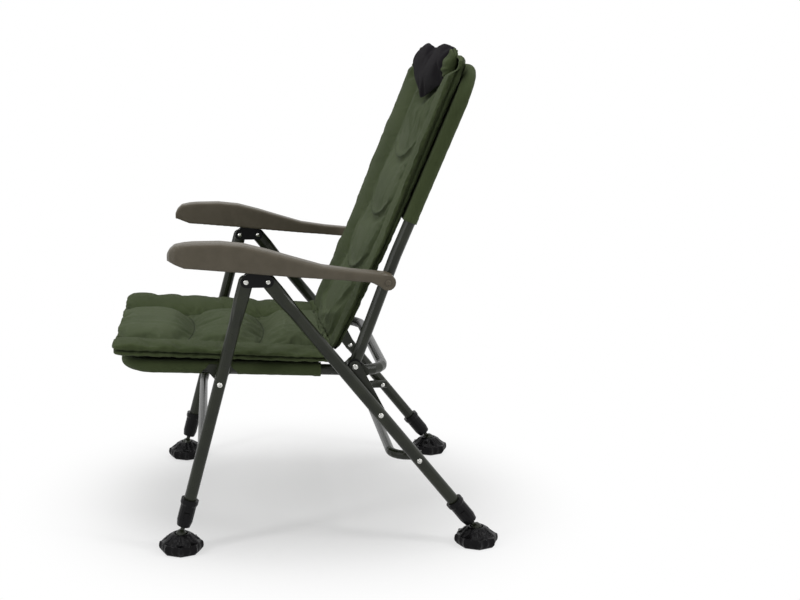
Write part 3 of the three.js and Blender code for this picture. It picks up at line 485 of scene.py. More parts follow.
def corner_inset(radius, from_end):
    """How far a rounded corner draws the edge in, near the end of a panel."""
    return radius - np.sqrt(np.maximum(radius**2 - np.maximum(radius - from_end, 0) ** 2, 0))


# Stitches: rows of thread that lie on the cloth
STITCH_PITCH = 0.0052
STITCH_HALF = (0.0017, 0.0005, 0.0004)  # half its length, width and height
STITCH_LIFT = 0.0004
STITCH_OUTLINE = ((1, 0.5), (0.5, 1), (-0.5, 1), (-1, 0.5), (-1, -0.5), (-0.5, -1), (0.5, -1), (1, -0.5))


def stitch(bm, centre, axes):
    """A small block with cut corners."""
    along, wide, tall = (axis * half for axis, half in zip(axes, STITCH_HALF))
    ends = [[bm.verts.new(centre + along * end + wide * w + tall * t) for w, t in STITCH_OUTLINE]
            for end in (-1, 1)]
    for k in range(8):
        n = (k + 1) % 8
        bm.faces.new((ends[0][k], ends[0][n], ends[1][n], ends[1][k]))
    bm.faces.new(ends[0][::-1])
    bm.faces.new(ends[1])


def stitches(name, path, normals):
    """One row of thread along a path that lies on the cloth."""
    reach = reach_along(path)

    def at(distance, table):
        inside = min(max(distance, 0), reach[-1])
        return np.array([np.interp(inside, reach, column) for column in table.T])

    bm = bmesh.new()
    for distance in np.arange(STITCH_PITCH / 2, reach[-1], STITCH_PITCH):
        way = way_from(at(distance - 0.002, path), at(distance + 0.002, path))
        cross = np.cross(way, at(distance, normals))
        cross /= np.linalg.norm(cross)
        up = np.cross(cross, way)
        centre = at(distance, path) + up * STITCH_LIFT
        stitch(bm, Vector(centre), [Vector(way), Vector(cross), Vector(up)])
    mesh = bpy.data.meshes.new(name)
    bm.to_mesh(mesh)
    bm.free()
    return link_mesh(name, mesh, ["thread"])


# Mattress: two sewn cushions, each a raised border round bulging pads. Sizes are in metres, places
# along a cushion are shares of its length, and heights are over its underside. A pair of heights
# runs from its first end to its last. half and panel are half the width of the cushion and of its
# pads, bow shifts the ends of the cross seams, taper is the share of the width lost towards the
# first end, and swelling is how far the filling may push the pads out.
SEAT_SPINE = Spine([
    *[seat_line(y, 0.0150) for y in (-122, -60, 90, 288)], seat_line(312, 0.018), side(324.5, 388)])
BACK_LIFT = 0.0158
BACK_SPINE = Spine([
    side(326.5, 391),
    *[before(HIP, BEND, share, BACK_LIFT + 0.020 * (1 - share)) for share in (0.26, 0.5, 0.78)],
    *[before(BEND, TOP, share, BACK_LIFT) for share in (0.08, 0.5, 1.05)]])


def behind_pillow(share, x):
    """The top of the back is flat behind the pillow."""
    start = 0.84 + 0.045 * smoothstep((np.abs(x) - 0.205) / 0.02)
    return 0.0085 + np.maximum(start - share, 0) * BACK_SPINE.length


def below_pillow(share, across):
    """The pads are gathered below the pillow."""
    window = smoothstep((share - 0.69) / 0.08) * smoothstep((0.90 - share) / 0.05)
    tucks = (1 - np.abs(np.sin(math.pi * (across + 0.012 * np.sin(share * 25)) / 0.019))) ** 2
    return window * (0.0010 * ripple(across, 0.033, 31, share * 9) - 0.0022 * tucks)


SEAT = SimpleNamespace(
    name="seat_mattress", node="seat_cushion", body="seat", spine=SEAT_SPINE, seed=3,
    half=0.261, panel=0.145, corner=0.013, taper=0, seams=(0.342, 0.672), bow=-0.022, sewn_share=0.86,
    crest=(0.035, 0.022), groove=(0.019, 0.012), low=(0.009, 0.004), pad=0.026, seam=0.0065,
    swelling=0.011, limit=None, gathers=None,
    squash_along=SEAT_NORMAL, squash_to=seat_line(163, 0.015), keep=0.3)
BACK = SimpleNamespace(
    name="back_mattress", node="back_cushion", body="backrest", spine=BACK_SPINE, seed=8,
    half=0.260, panel=0.135, corner=0.034, taper=0.048, seams=(0.228, 0.425, 0.632), bow=0.052,
    sewn_share=0.95,
    crest=(0.019, 0.031), groove=(0.008, 0.015), low=(0.0010, 0.0010), pad=0.027, seam=0.006,
    swelling=0.010, limit=behind_pillow, gathers=below_pillow,
    squash_along=BACK_NORMAL, squash_to=BEND + BACK_NORMAL * 0.0145, keep=0.15)

ROW = 0.0068                        # spacing of a cushion's rows and columns
ROLL_TOP = 0.72                     # share of the border's width where its roll is highest
END_ROUND = 0.02                    # length of the rounding at each end
BOW_FADE = 0.12                     # share of the length over which the seams' bow fades at the ends
TAPER_START, TAPER_OVER = 0.34, 0.22
UNDER_INSET, UNDER_SHORT = 0.040, 0.036  # how far in from the sides and the ends the underside starts
BORDER_SWELLING = 0.0028
TOP_PART, SIDE_PART, UNDER_PART = 0.0, 1.0, 2.0
CROSS_SEAM, SIDE_SEAM = 1.0, 2.0


def between(pair, share):
    return pair[0] + (pair[1] - pair[0]) * share


def cushion_grid(c):
    """Rows with one on each cross seam, as shares of the length, and columns with one on each side seam."""
    marks = [0, *c.seams, 1]
    rows = []
    for start, end in zip(marks, marks[1:]):
        steps = max(4, round((end - start) * c.spine.length / ROW))
        rows += [start + (end - start) * k / steps for k in range(steps)]
    border, pads = round((c.half - c.panel) / ROW), round(2 * c.panel / ROW)
    columns = np.concatenate([
        np.linspace(-c.half, -c.panel, border, endpoint=False),
        np.linspace(-c.panel, c.panel, pads, endpoint=False),
        np.linspace(c.panel, c.half, border + 1)])
    return np.array([*rows, 1.0]), columns


def cushion_top(c, share, x, from_end):
    """Height of the top: pads that bulge between the sewn lines, and a rolled border outside them."""
    marks = np.array([0, *c.seams, 1])
    last = len(marks) - 2
    cell = np.clip(np.searchsorted(marks, share, side="right") - 1, 0, last)
    t = np.clip((share - marks[cell]) / (marks[cell + 1] - marks[cell]), 0, 1)
    arch = np.maximum(1 - np.abs(2 * t - 1) ** 3, 0) ** 0.75
    # the first and the last pad stay full up to the cushion's ends
    arch = np.where((cell == 0) & (t < 0.5), smoothstep(t * 4) * 0.25 + 0.75, arch)
    arch = np.where((cell == last) & (t > 0.5), smoothstep((1 - t) * 4) * 0.25 + 0.75, arch)
    inside = np.minimum(np.abs(x) / c.panel, 1)
    pads = c.seam + (c.pad - c.seam) * arch * np.maximum(1 - inside**4, 0) ** 0.5
    crest, groove = between(c.crest, share), between(c.groove, share)
    outside = np.clip((np.abs(x) - c.panel) / (c.half - c.panel), 0, 1)
    rolled = c.seam + (crest - c.seam) * np.sin(0.5 * math.pi * np.minimum(outside / ROLL_TOP, 1)) ** 0.9
    rolled -= (crest - groove) * 0.12 * (np.maximum(outside - ROLL_TOP, 0) / (1 - ROLL_TOP)) ** 3
    top = np.where(np.abs(x) > c.panel, rolled, pads)
    end_round = np.sqrt(np.maximum(1 - (1 - np.minimum(from_end / END_ROUND, 1)) ** 2, 0))
    edge = 0.58 * crest + 0.42 * groove
    top = np.where(from_end < END_ROUND, edge + (top - edge) * (0.25 + 0.75 * end_round), top)
    return top if c.limit is None else np.minimum(top, c.limit(share, x))


def side_rings(top, groove, low):
    """Rings down a cushion's side: how far out, how high, and how firmly each is pinned."""
    return [
        (0.0022, top * 0.84 + groove * 0.16, 0),
        (0.0034, top * 0.45 + groove * 0.55, 0),
        (0.0016, groove + 0.0020, 0.5),
        (-0.0085, groove, 1),
        (0.0006, groove - 0.0020, 0.5),
        (0.0020, 0.5 * (groove + low), 0),
        (0.0, low + 0.0004, 0.5),
        (-0.012, low - 0.002, 1),
        (-0.030, low * 0.4, 1),
    ]


def rim_of(rows, columns):
    """Row and column numbers of a grid's outermost points, once round."""
    loop = [(0, j) for j in range(columns)]
    loop += [(i, columns - 1) for i in range(1, rows)]
    loop += [(rows - 1, j) for j in range(columns - 2, -1, -1)]
    loop += [(i, 0) for i in range(rows - 2, 0, -1)]
    return tuple(np.array(loop).T)


def sewn_lines(c, rows, columns):
    """1 on the cross seams, 2 on the side seams and 0 elsewhere on the top."""
    sewn = np.zeros((len(rows), len(columns)))
    for seam in c.seams:
        sewn[np.argmin(np.abs(rows - seam)), np.abs(columns) < c.panel * c.sewn_share] = CROSS_SEAM
    for x in (-c.panel, c.panel):
        sewn[:, np.argmin(np.abs(columns - x))] = SIDE_SEAM
    return sewn


def cushion(c):
    """One cushion, closed all round, on a spine that its underside follows.

    Gives the object, how firmly each of its points is pinned, and how far each may swell.
    """
    rows, columns = cushion_grid(c)
    share, x = np.meshgrid(rows, columns, indexing="ij")
    length = c.spine.length
    window = smoothstep(share / BOW_FADE) * smoothstep((1 - share) / BOW_FADE)
    along = share * length + c.bow * np.minimum(np.abs(x) / c.panel, 1) ** 2.2 * window
    from_end = np.minimum(share, 1 - share) * length
    plan_x = x * (1 - corner_inset(c.corner, from_end) / c.half)
    plan_x = plan_x * (1 - c.taper * smoothstep((TAPER_START - share) / TAPER_OVER))
    top = cushion_top(c, share, x, from_end)
    sewn = sewn_lines(c, rows, columns)
    index = np.arange(share.size).reshape(share.shape)
    rim = rim_of(*share.shape)

    verts, faces = [c.spine.place(along, plan_x, top).reshape(-1, 3)], grid_faces(index)
    pins, alongs, acrosses = [(sewn > 0).astype(float).ravel()], [along.ravel()], [x.ravel()]
    parts = [np.full(share.size, TOP_PART)]
    rim_along, rim_x = along[rim], plan_x[rim]
    flow = np.stack([np.roll(run, -1) - np.roll(run, 1) for run in (rim_x, rim_along)], 1)
    flow /= np.linalg.norm(flow, axis=1)[:, None]
    previous, used = index[rim], share.size
    for out, height, pin in side_rings(top[rim], between(c.groove, share[rim]), between(c.low, share[rim])):
        verts.append(c.spine.place(rim_along - flow[:, 0] * out, rim_x + flow[:, 1] * out, height))
        ring = used + np.arange(len(previous))
        faces += strip_faces(previous, ring)
        pins.append(np.full(len(ring), float(pin)))
        alongs.append(rim_along)
        acrosses.append(x[rim])
        parts.append(np.full(len(ring), SIDE_PART))
        previous, used = ring, used + len(ring)

    # the underside is a smaller grid that starts from the last ring
    middle = 0.5 * length
    under_along = middle + (along - middle) * ((middle - UNDER_SHORT) / middle)
    under_x = plan_x * ((c.half - UNDER_INSET) / c.half)
    verts.append(c.spine.place(under_along, under_x, 0 * share).reshape(-1, 3))
    faces += grid_faces(used + index, flip=True) + strip_faces(previous, used + index[rim])
    pins.append(np.ones(share.size))
    alongs.append(along.ravel())
    acrosses.append(x.ravel())
    parts.append(np.full(share.size, UNDER_PART))

    across, part = np.concatenate(acrosses), np.concatenate(parts)
    obj = mesh_object(c.name, np.concatenate(verts), faces, ["pad", "band"])
    remember(obj, sewn=np.concatenate([sewn.ravel(), np.zeros(len(part) - sewn.size)]),
             along=np.concatenate(alongs), across=across, part=part)
    centres = 0.5 * (columns[:-1] + columns[1:])
    on_border = np.tile(np.abs(centres) >= c.panel, len(rows) - 1)
    for number, polygon in enumerate(obj.data.polygons):
        polygon.material_index = int(number >= len(on_border) or on_border[number])
    on_pads = smoothstep((c.panel + 0.004 - np.abs(across)) / 0.008) * (part == TOP_PART)
    return obj, np.concatenate(pins), BORDER_SWELLING + (c.swelling - BORDER_SWELLING) * on_pads


# Creases: pairs are a fold's depth and the distance from one fold to the next, and a reach is how
# far from the stitched line a fold dies out
PAD_FOLDS, PAD_EDGE = (0.0007, 0.034), 0.03
DRAWN_IN, DRAWN_REACH = (0.0008, 0.017), 0.014
BORDER_FOLDS, BORDER_REACH = (0.0013, 0.021), 0.022
BORDER_WAVES = (0.0007, 0.085)
SIDE_FOLDS = (0.0006, 0.022)
FAN_DEPTH, FAN_REACH, FAN_FOLDS = 0.0034, 0.030, 4.5


def folds(size, run, seed, wander=0.0):
    """Soft folds of a given depth and spacing along a run."""
    depth, period = size
    return depth * ripple(run, period, seed, wander)


def creases(c, piece):
    """Small folds: along the pads, across the border from its stitched line, and round the side."""
    along, across, part = (recall(piece, key) for key in ("along", "across", "part"))
    past = np.abs(across) - c.panel
    on_top, on_side = part < 0.5, (part >= 0.5) & (part < 1.5)
    on_pads, on_border = on_top & (past < 0), on_top & (past >= 0)
    inside = np.clip(-past / PAD_EDGE, 0, 1)
    bend = 0.9 * ripple(along, 0.21, c.seed)
    amount = on_pads * inside * folds(PAD_FOLDS, across, c.seed + 1, bend)
    # the pads are drawn in along their stitched sides
    drawn = DRAWN_IN[0] + folds(DRAWN_IN, along, c.seed + 2)
    amount -= on_pads * np.exp(np.minimum(past, 0) / DRAWN_REACH) * drawn
    fade = np.exp(-np.maximum(past, 0) / BORDER_REACH)
    amount += on_border * fade * folds(BORDER_FOLDS, along + 0.25 * past, c.seed + 3)
    amount += on_border * folds(BORDER_WAVES, along, c.seed + 4)
    amount += on_side * folds(SIDE_FOLDS, along, c.seed + 5)
    # folds that fan out from the ends of the cross seams
    for seam in c.seams:
        for sign in (-1, 1):
            ahead, outward = along - seam * c.spine.length, sign * across - c.panel
            distance = np.hypot(ahead, outward)
            turn = FAN_FOLDS * np.arctan2(ahead, outward) + c.seed + seam * 20
            fan = (1 - np.abs(np.sin(turn))) ** 2 * np.exp(-distance / FAN_REACH)
            amount -= on_top * FAN_DEPTH * fan * np.clip(distance / 0.006, 0, 1)
    if c.gathers is not None:
        amount += on_pads * c.gathers(along / c.spine.length, across)
    push_out(piece, amount)


def flatten(piece):
    """Gives what lies on a sling a mesh of its own."""
    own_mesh(piece)


def sew(c, piece):
    """Rows of thread along both sides of the pads and across them."""
    along, across, sewn = (recall(piece, key) for key in ("along", "across", "sewn"))
    where, up = points_of(piece), points_of(piece, normals=True)
    on_side_seam = (sewn > SIDE_SEAM - 0.02) & (np.abs(np.abs(across) - c.panel) < 0.0004)
    on_cross_seam = (np.abs(sewn - CROSS_SEAM) < 0.02) & (np.abs(across) < c.panel * 0.97)
    rows = [(on_side_seam & (np.sign(across) == sign), along) for sign in (-1, 1)]
    for seam in c.seams:
        guess = seam * c.spine.length + c.bow * np.minimum(np.abs(across) / c.panel, 1) ** 2.2
        rows.append((on_cross_seam & (np.abs(along - guess) < 0.012), across))
    for k, (chosen, run) in enumerate(rows):
        order = np.argsort(run[chosen])
        thread = stitches(f"{c.name}_stitch_{k}", where[chosen][order], up[chosen][order])
        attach(thread, c.body)
        flatten(thread)


stuffed = []
for c in (SEAT, BACK):
    piece, pins, cap = cushion(c)
    swell(piece, pins, 3.0, 22, cap)
    stuffed.append((c, piece))
for c, piece in stuffed:
    subdivide(piece)
    creases(c, piece)
    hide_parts(c.node)
    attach(piece, c.body)
    sew(c, piece)
    flatten(piece)

# Pillow: two soft lobes, pinched in the middle, with a gathered green cap at each end
PILLOW_HALF = 0.211
CAP_SEAM = 0.182
CAP_START, LOBE_END = 0.186, 0.178         # first and last columns on either side of the cap's seam
CAP_GATHER = 0.0019                        # depth of the caps' gathers
LOBE_X, LOBE_WIDE = 0.105, 0.075           # middle and width of each lobe
END_X, END_WIDE = 0.176, 0.0365            # where the ends begin to round, and over what width
UPPER, LOWER, LOWER_SLOPE = 0.036, 0.079, 0.27  # heights over and under the middle, and the V's slope
DEEP, LIES_OUT, LIES_DOWN = 0.0115, 0.0246, 0.0058  # half its depth, and its place from TOP
PILLOW_TURNS = np.linspace(0, FULL_TURN, 40, endpoint=False)


def power(value, exponent):
    return np.sign(value) * np.abs(value) ** exponent


def pillow_ring(x):
    """The pillow's section at x, as points over the backrest's plane."""
    up_share, out_share = np.cos(PILLOW_TURNS), np.sin(PILLOW_TURNS)
    lobe = math.exp(-((abs(x) - LOBE_X) / LOBE_WIDE) ** 2)
    end = math.sqrt(max(1 - max((abs(x) - END_X) / END_WIDE, 0) ** 2, 0.02))
    upper = (UPPER + 0.008 * lobe) * (0.3 + 0.7 * end)
    lower = (LOWER - LOWER_SLOPE * math.hypot(x, 0.01)) * (0.4 + 0.6 * end)
    deep = (DEEP + 0.002 * lobe) * (0.45 + 0.55 * end) * (1 - 0.72 * np.maximum(-up_share, 0) ** 2)
    height = np.where(up_share > 0, upper, lower) * power(up_share, 0.92) - LIES_DOWN
    out = LIES_OUT + deep + deep * power(out_share, 0.86)
    yz = TOP + height[:, None] * BACK_WAY + out[:, None] * BACK_NORMAL
    return np.column_stack([np.full(len(yz), x), yz])


def pillow():
    columns = np.concatenate([
        np.linspace(-PILLOW_HALF, -CAP_START, 7), np.linspace(-LOBE_END, LOBE_END, 43),
        np.linspace(CAP_START, PILLOW_HALF, 7)])
    from_middle, turn = np.meshgrid(np.abs(columns), PILLOW_TURNS, indexing="ij")
    at_seam = (np.abs(from_middle - CAP_SEAM) < 0.005) | (from_middle > 0.97 * PILLOW_HALF)
    pinch = (from_middle < 0.004) & (np.cos(turn) > 0.4)
    obj = mesh_object("pillow_soft", *tube_rings([pillow_ring(x) for x in columns]), ["pillow", "band"])
    remember(obj, far=from_middle.ravel(), turn=turn.ravel())
    swell(obj, (at_seam | pinch).astype(float).ravel(), 2.2, 18, 0.0045)
    subdivide(obj)
    far, turn = recall(obj, "far"), recall(obj, "turn")
    gathers = np.sin(11 * turn + 1.4 * np.sin(3 * turn)) * np.clip((PILLOW_HALF - far) / 0.012, 0, 1)
    sewn_in = np.exp(-((far - CAP_SEAM) / 0.0022) ** 2)
    push_out(obj, (far > CAP_SEAM + 0.001) * CAP_GATHER * gathers - 0.0022 * sewn_in)
    for polygon in obj.data.polygons:
        polygon.material_index = int(np.mean([far[i] for i in polygon.vertices]) > CAP_SEAM + 0.0005)
    return obj


head = pillow()
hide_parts("pillow")
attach(head, "backrest")


# Slings: one sheet over each frame, with a sleeve of the same cloth round the tubes
SLEEVE_SKIN, SLEEVE_WAVE = 0.0012, 0.0007
HEM_LONG, HEM_THICK = 0.016, 0.0009
SHEET_THICK, SHEET_WAVE, SHEET_INSET = 0.0009, 0.0004, 0.004
SEAT_SHEET_LIFT, SEAT_SAG = 0.0118, 0.004            # over the middle of the tubes
BACK_SHEET_OUT, BACK_TUCK = 0.0126, 0.0035           # in front of the tubes, and less at the bow
SEAT_SLEEVE, BACK_SLEEVE = 0.0136, 0.0139            # outer radii
SEAT_SLEEVE_FLAT, BACK_SLEEVE_FLAT = 0.0132, 0.0142  # radii that the strips are cut for
SEAT_CORNER, BACK_CORNER = 0.060, 0.062              # bends of the tubes inside
SEAT_SHEET_END_Y = 292
HEM_SHARE = 0.19                                     # of the upper backrest, below the back sling
BACK_HEM = BEND + (TOP - BEND) * HEM_SHARE
LUG_Y, LUG_HALF = 88, 37                             # the lug window's middle and half length, in mm


def loop_path(points, radius, spacing=0.004):
    """A smooth run through 3-D corners, each inner corner rounded, and its length."""
    points = [np.array(point, dtype=float) for point in points]
    out = [points[0]]
    for a, b, c in zip(points, points[1:], points[2:]):
        into, away = way_from(a, b), way_from(b, c)
        turn = math.acos(np.clip(into @ away, -1, 1))
        back_off = radius * math.tan(turn / 2)
        start = b - into * back_off
        centre = b + way_from(into, away) * math.hypot(radius, back_off)
        axis = np.cross(into, away)
        axis /= np.linalg.norm(axis)
        arm = start - centre
        for t in np.linspace(0, turn, max(3, round(turn * radius / spacing))):
            out.append(centre + arm * math.cos(t) + np.cross(axis, arm) * math.sin(t))
    out = np.array([*out, points[-1]])
    return evenly(out, round(reach_along(out)[-1] / spacing) + 1)


def sleeve(name, path, length, front, radius, folds, seed):
    """Cloth sewn round a tube: a thin skin with an inner and an outer face, and a hem at each end."""
    angles = np.linspace(0, FULL_TURN, 26, endpoint=False)
    outer, inner = [], []
    for point, slope, reach in zip(path, unit_slopes(path), np.linspace(0, length, len(path))):
        ahead = front - (front @ slope) * slope
        ahead /= np.linalg.norm(ahead)
        ring = np.cos(angles)[:, None] * ahead + np.sin(angles)[:, None] * np.cross(slope, ahead)
        wave = 0.35 * ripple(reach + 0.012 * np.sin(angles), 0.03, seed)
        wave = wave + 0.5 * np.sin(3 * angles + reach * 30) * folds(reach / length)
        hem = smoothstep((HEM_LONG - min(reach, length - reach)) / 0.003)
        size = radius + SLEEVE_WAVE * wave + HEM_THICK * hem
        outer.append(point + ring * size[:, None])
        inner.append(point + ring * (radius - SLEEVE_SKIN))
    return mesh_object(name, *tube_rings(outer + inner[::-1], closed=True), ["band"])


def gathers_at(places, wide, strength):
    """How strongly a sleeve is gathered along its run, most at the corners."""
    return lambda share: strength * sum(math.exp(-((share - place) / wide) ** 2) for place in places)


def cut_windows(piece):
    """A curved window on each side of the seat's sleeve lets the front lug through."""
    outline = [seat_line(LUG_Y + LUG_HALF * math.cos(t), -0.014 + 0.0215 * max(math.sin(t), -0.4))
               for t in np.linspace(0, FULL_TURN, 36, endpoint=False)]
    for sign in (-1, 1):
        rings = [np.array([(sign * x, *point) for point in outline]) for x in (SEAT_TUBE_X + 0.0005, 0.30)]
        tool = mesh_object(f"window_{sign}", *tube_rings(rings), [])
        modify(piece, "BOOLEAN", object=tool, operation="DIFFERENCE", solver="EXACT")
        apply_all(piece)
        bpy.data.objects.remove(tool)
    piece.data.shade_smooth()


def sheet_grid(name, place, rows, columns):
    """A sheet from its unit square, with a thin underside."""
    u, v = np.meshgrid(np.linspace(0, 1, rows), np.linspace(-1, 1, columns), indexing="ij")
    index = np.arange(rows * columns).reshape(rows, columns)
    obj = mesh_object(name, place(u, v).reshape(-1, 3), grid_faces(index), ["band"])
    modify(obj, "SOLIDIFY", thickness=SHEET_THICK, offset=0)
    apply_all(obj)
    obj.data.shade_smooth()
    return obj


def seat_sheet_place(u, v):
    start, end = SEAT_FRONT_Y + 5, SEAT_SHEET_END_Y - 3
    y = start + (end - start) * u
    half = SEAT_TUBE_X - SHEET_INSET - corner_inset(SEAT_CORNER, (y - SEAT_FRONT_Y) * MM) * 0.98
    sag = SEAT_SAG * (1 - v**2) * np.minimum(u * 5, 1)
    yz = seat_line(y, SEAT_SHEET_LIFT - sag + SHEET_WAVE * ripple(v * 0.23, 0.06, 12, u * 3))
    return np.stack([v * half, yz[..., 0], yz[..., 1]], -1)


def back_sheet_place(u, v):
    from_top = BACK_SPAN * (1 - HEM_SHARE) * (1 - u)
    half = BACK_TUBE_X - SHEET_INSET - corner_inset(BACK_CORNER, from_top) * 0.98
    out = BACK_SHEET_OUT - BACK_TUCK * smoothstep((0.05 - from_top) / 0.05)
    out = out + SHEET_WAVE * ripple(v * 0.26, 0.07, 14, u * 4)
    yz = TOP - BACK_WAY * from_top[..., None] + BACK_NORMAL * out[..., None]
    return np.stack([v * half, yz[..., 0], yz[..., 1]], -1)


def round_three_sides(half, start, far):
    """Corners of a run up one side, across and down the other."""
    return [(half, *start), (half, *far), (-half, *far), (-half, *start)]


seat_path, seat_run = loop_path(
    round_three_sides(SEAT_TUBE_X, seat_line(SEAT_SHEET_END_Y, 0), seat_line(SEAT_FRONT_Y, 0)), SEAT_CORNER)
back_path, back_run = loop_path(round_three_sides(BACK_TUBE_X, BACK_HEM, TOP), BACK_CORNER)
seat_sleeve = sleeve("seat_sleeve", seat_path, seat_run, np.array([0, 0, 1.0]), SEAT_SLEEVE,
                     gathers_at((0.305, 0.695), 0.035, 1.6), 5)
cut_windows(seat_sleeve)
seat_sheet = sheet_grid("seat_sheet", seat_sheet_place, 60, 70)
back_sleeve = sleeve("back_sleeve", back_path, back_run, np.array([0, *BACK_NORMAL]), BACK_SLEEVE,
                     gathers_at((0.245, 0.755), 0.022, 2.4), 6)
back_sheet = sheet_grid("back_sheet", back_sheet_place, 80, 70)

# each sling's pieces, with the width and length that each is cut to
on_seat, on_back = ("seat_sling", "seat", "seat_frame"), ("back_sling", "backrest", "backrest_frame")
for piece, (sling, body, tubes), wide, long, held in (
        (seat_sleeve, on_seat, FULL_TURN * SEAT_SLEEVE_FLAT, seat_run, "stretched"),
        (seat_sheet, on_seat, 0.474, 0.383, "stretched"),
        (back_sleeve, on_back, FULL_TURN * BACK_SLEEVE_FLAT, back_run, "gathered"),
        (back_sheet, on_back, 0.530, BACK_SPAN * (1 - HEM_SHARE), "stretched")):
    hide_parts(sling)
    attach(piece, body)

# The pillow's strap goes over the bow and down behind the back sling
STRAP_WIDE, STRAP_THICK = 0.05, 0.0012
STRAP_RUN = (  # up along the backrest from its top, and out in front of it
    (0.030, 0.0262), (0.0165, 0.0185), (0.0172, 0.004), (0.0135, -0.0125), (0.000, -0.0172),
    (-0.03, -0.0168), (-0.10, 0.0095), (-0.14, 0.0108))
STRAP_SECTION = ((-0.5, 0.2), (-0.47, 1), (-0.2, 0.85), (0.2, 0.85), (0.47, 1), (0.5, 0.2))


def ribbon(name, path, width, thick, mat):
    """A flat strap that follows side-view points and lies across the chair, and its length."""
    curve, length = spline(np.array(path), 60)
    rings = []
    for point, slope in zip(curve, unit_slopes(curve)):
        up = square_to(slope) * thick / 2
        ring = [(x * width, *(point + up * tall)) for x, tall in STRAP_SECTION]
        ring += [(x * width, *(point - up * tall)) for x, tall in STRAP_SECTION[::-1]]
        rings.append(np.array(ring))
    return mesh_object(name, *tube_rings(rings), [mat]), length


strap, strap_length = ribbon(
    "pillow_strap", [TOP + BACK_WAY * up + BACK_NORMAL * out for up, out in STRAP_RUN],
    STRAP_WIDE, STRAP_THICK, "strap")
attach(strap, "backrest")

# Rivets: a shallow dome with a dimple, smaller than the solid's plain head
SHANK, HEAD_LIP, TAIL = 0.0039, 0.0017, 0.0012
HEAD_PROFILE = (  # shares of the dome's height and of the head's radius, from the dimple outward
    (0.72, 0.02), (0.80, 0.22), (0.98, 0.36), (0.97, 0.55), (0.80, 0.78), (0.50, 0.93), (0.2, 1.0),
    (0.0, 0.98))
RIVET_TURNS = np.linspace(0, FULL_TURN, 28, endpoint=False)


def rivet(node, radius, mat="zinc", dome=0.0022):
    low, high = (Vector(corner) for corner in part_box(node))
    outward = 1 if low.x > 0 else -1
    outer, inner = (high.x, low.x) if outward > 0 else (low.x, high.x)
    y, z = (low.y + high.y) / 2, (low.z + high.z) / 2
    base = outer - outward * HEAD_LIP
    profile = [(base + outward * dome * rise, radius * share) for rise, share in HEAD_PROFILE]
    profile += [(base, SHANK), (inner + outward * TAIL, SHANK)]
    profile += [(inner + outward * 0.001, radius), (inner, radius * 0.9)]
    up, across = np.cos(RIVET_TURNS), np.sin(RIVET_TURNS)
    rings = [np.stack([np.full_like(up, x), y + r * up, z + r * across], 1) for x, r in profile]
    piece = mesh_object(node + "_head", *tube_rings(rings), [mat])
    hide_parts(node)
    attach(piece, BODY_OF[node])


for side_name in ("left", "right"):
    for kind, radius in (("link_rivet", 0.0054), ("front_top_rivet", 0.0052), ("rear_top_rivet", 0.0048),
                         ("front_hinge_rivet", 0.0054), ("stretcher_bolt", 0.0052)):
        rivet(f"{kind}_{side_name}", radius)
    rivet(f"armrest_bolt_{side_name}", 0.0062, "arm")
    rivet(f"hip_bolt_{side_name}", 0.0062, dome=0.0034)

# Feet: eight-sided domes, ribbed on the wall and hollowed between the ribs above
FOOT_RADIUS = 0.044
FOOT_PROFILE = (  # radius and height, from under the sole up to the neck and down into the cup
    (0.002, 0.0012), (0.028, 0.0012), (0.031, 0.0), (0.0385, 0.0), (0.0398, 0.0008), (0.0414, 0.0030),
    (0.0428, 0.0060), (0.0437, 0.0088), (0.0440, 0.0110), (0.0438, 0.0140), (0.0434, 0.0165),
    (0.0428, 0.0190), (0.0414, 0.0208), (0.0390, 0.0226), (0.0360, 0.0246), (0.0330, 0.0268),
    (0.0300, 0.0290), (0.0270, 0.0312), (0.0240, 0.0332), (0.0212, 0.0350), (0.0188, 0.0364),
    (0.0168, 0.0373), (0.0150, 0.0375), (0.0137, 0.0371), (0.0130, 0.0355), (0.0128, 0.0338),
    (0.01203, 0.0296), (0.00905, 0.02495), (0.0054, 0.0224), (0.0011, 0.02125))
WALL_TOP, WALL_IN = 0.030, 0.028                   # the eight-sided part is lower and further out
RIB_LOW, RIB_HIGH, RIB_OUT, DENT = 0.003, 0.023, 0.0014, 0.0018
HOLLOW_IN, HOLLOW_WIDE, HOLLOW_DEEP = 0.0185, 0.0225, 0.0056
HALF_SIDE = math.pi / 8  # from a corner of the eight-sided outline to the middle of a side
FOOT_TURNS = np.linspace(0, FULL_TURN, 128, endpoint=False)
OFF_CORNER = np.abs((FOOT_TURNS + HALF_SIDE) % (2 * HALF_SIDE) - HALF_SIDE)


def foot_ring(r, z):
    """Radius and height all round the foot where its plain profile has radius r and height z."""
    radius, height = np.full(len(FOOT_TURNS), r), np.full(len(FOOT_TURNS), z)
    if z < WALL_TOP and r > WALL_IN:
        outline = math.cos(HALF_SIDE) / np.cos(OFF_CORNER - HALF_SIDE)
        radius = radius * (0.1 + 0.9 * outline / outline.max())
    if RIB_LOW < z < RIB_HIGH and r > 0.038:
        off_middle = np.abs(OFF_CORNER - HALF_SIDE)
        dent = np.clip((off_middle - 0.02) / 0.12, 0, 1) * np.clip(1 - (off_middle - 0.26) / 0.1, 0, 1)
        rib = np.clip(1 - OFF_CORNER / (0.20 * (1 - (z - RIB_LOW) / 0.021) + 0.02), 0, 1)
        radius = radius - DENT * dent * (z < 0.0205) + RIB_OUT * rib
    if HOLLOW_IN < r < HOLLOW_IN + HOLLOW_WIDE and z > 0.021:
        inward = r - HOLLOW_IN
        hollow = np.clip(1 - (OFF_CORNER / (0.10 + 10 * inward)) ** 4, 0, 1)
        height = height - HOLLOW_DEEP * hollow * math.sin(math.pi * inward / HOLLOW_WIDE)
    return radius, height


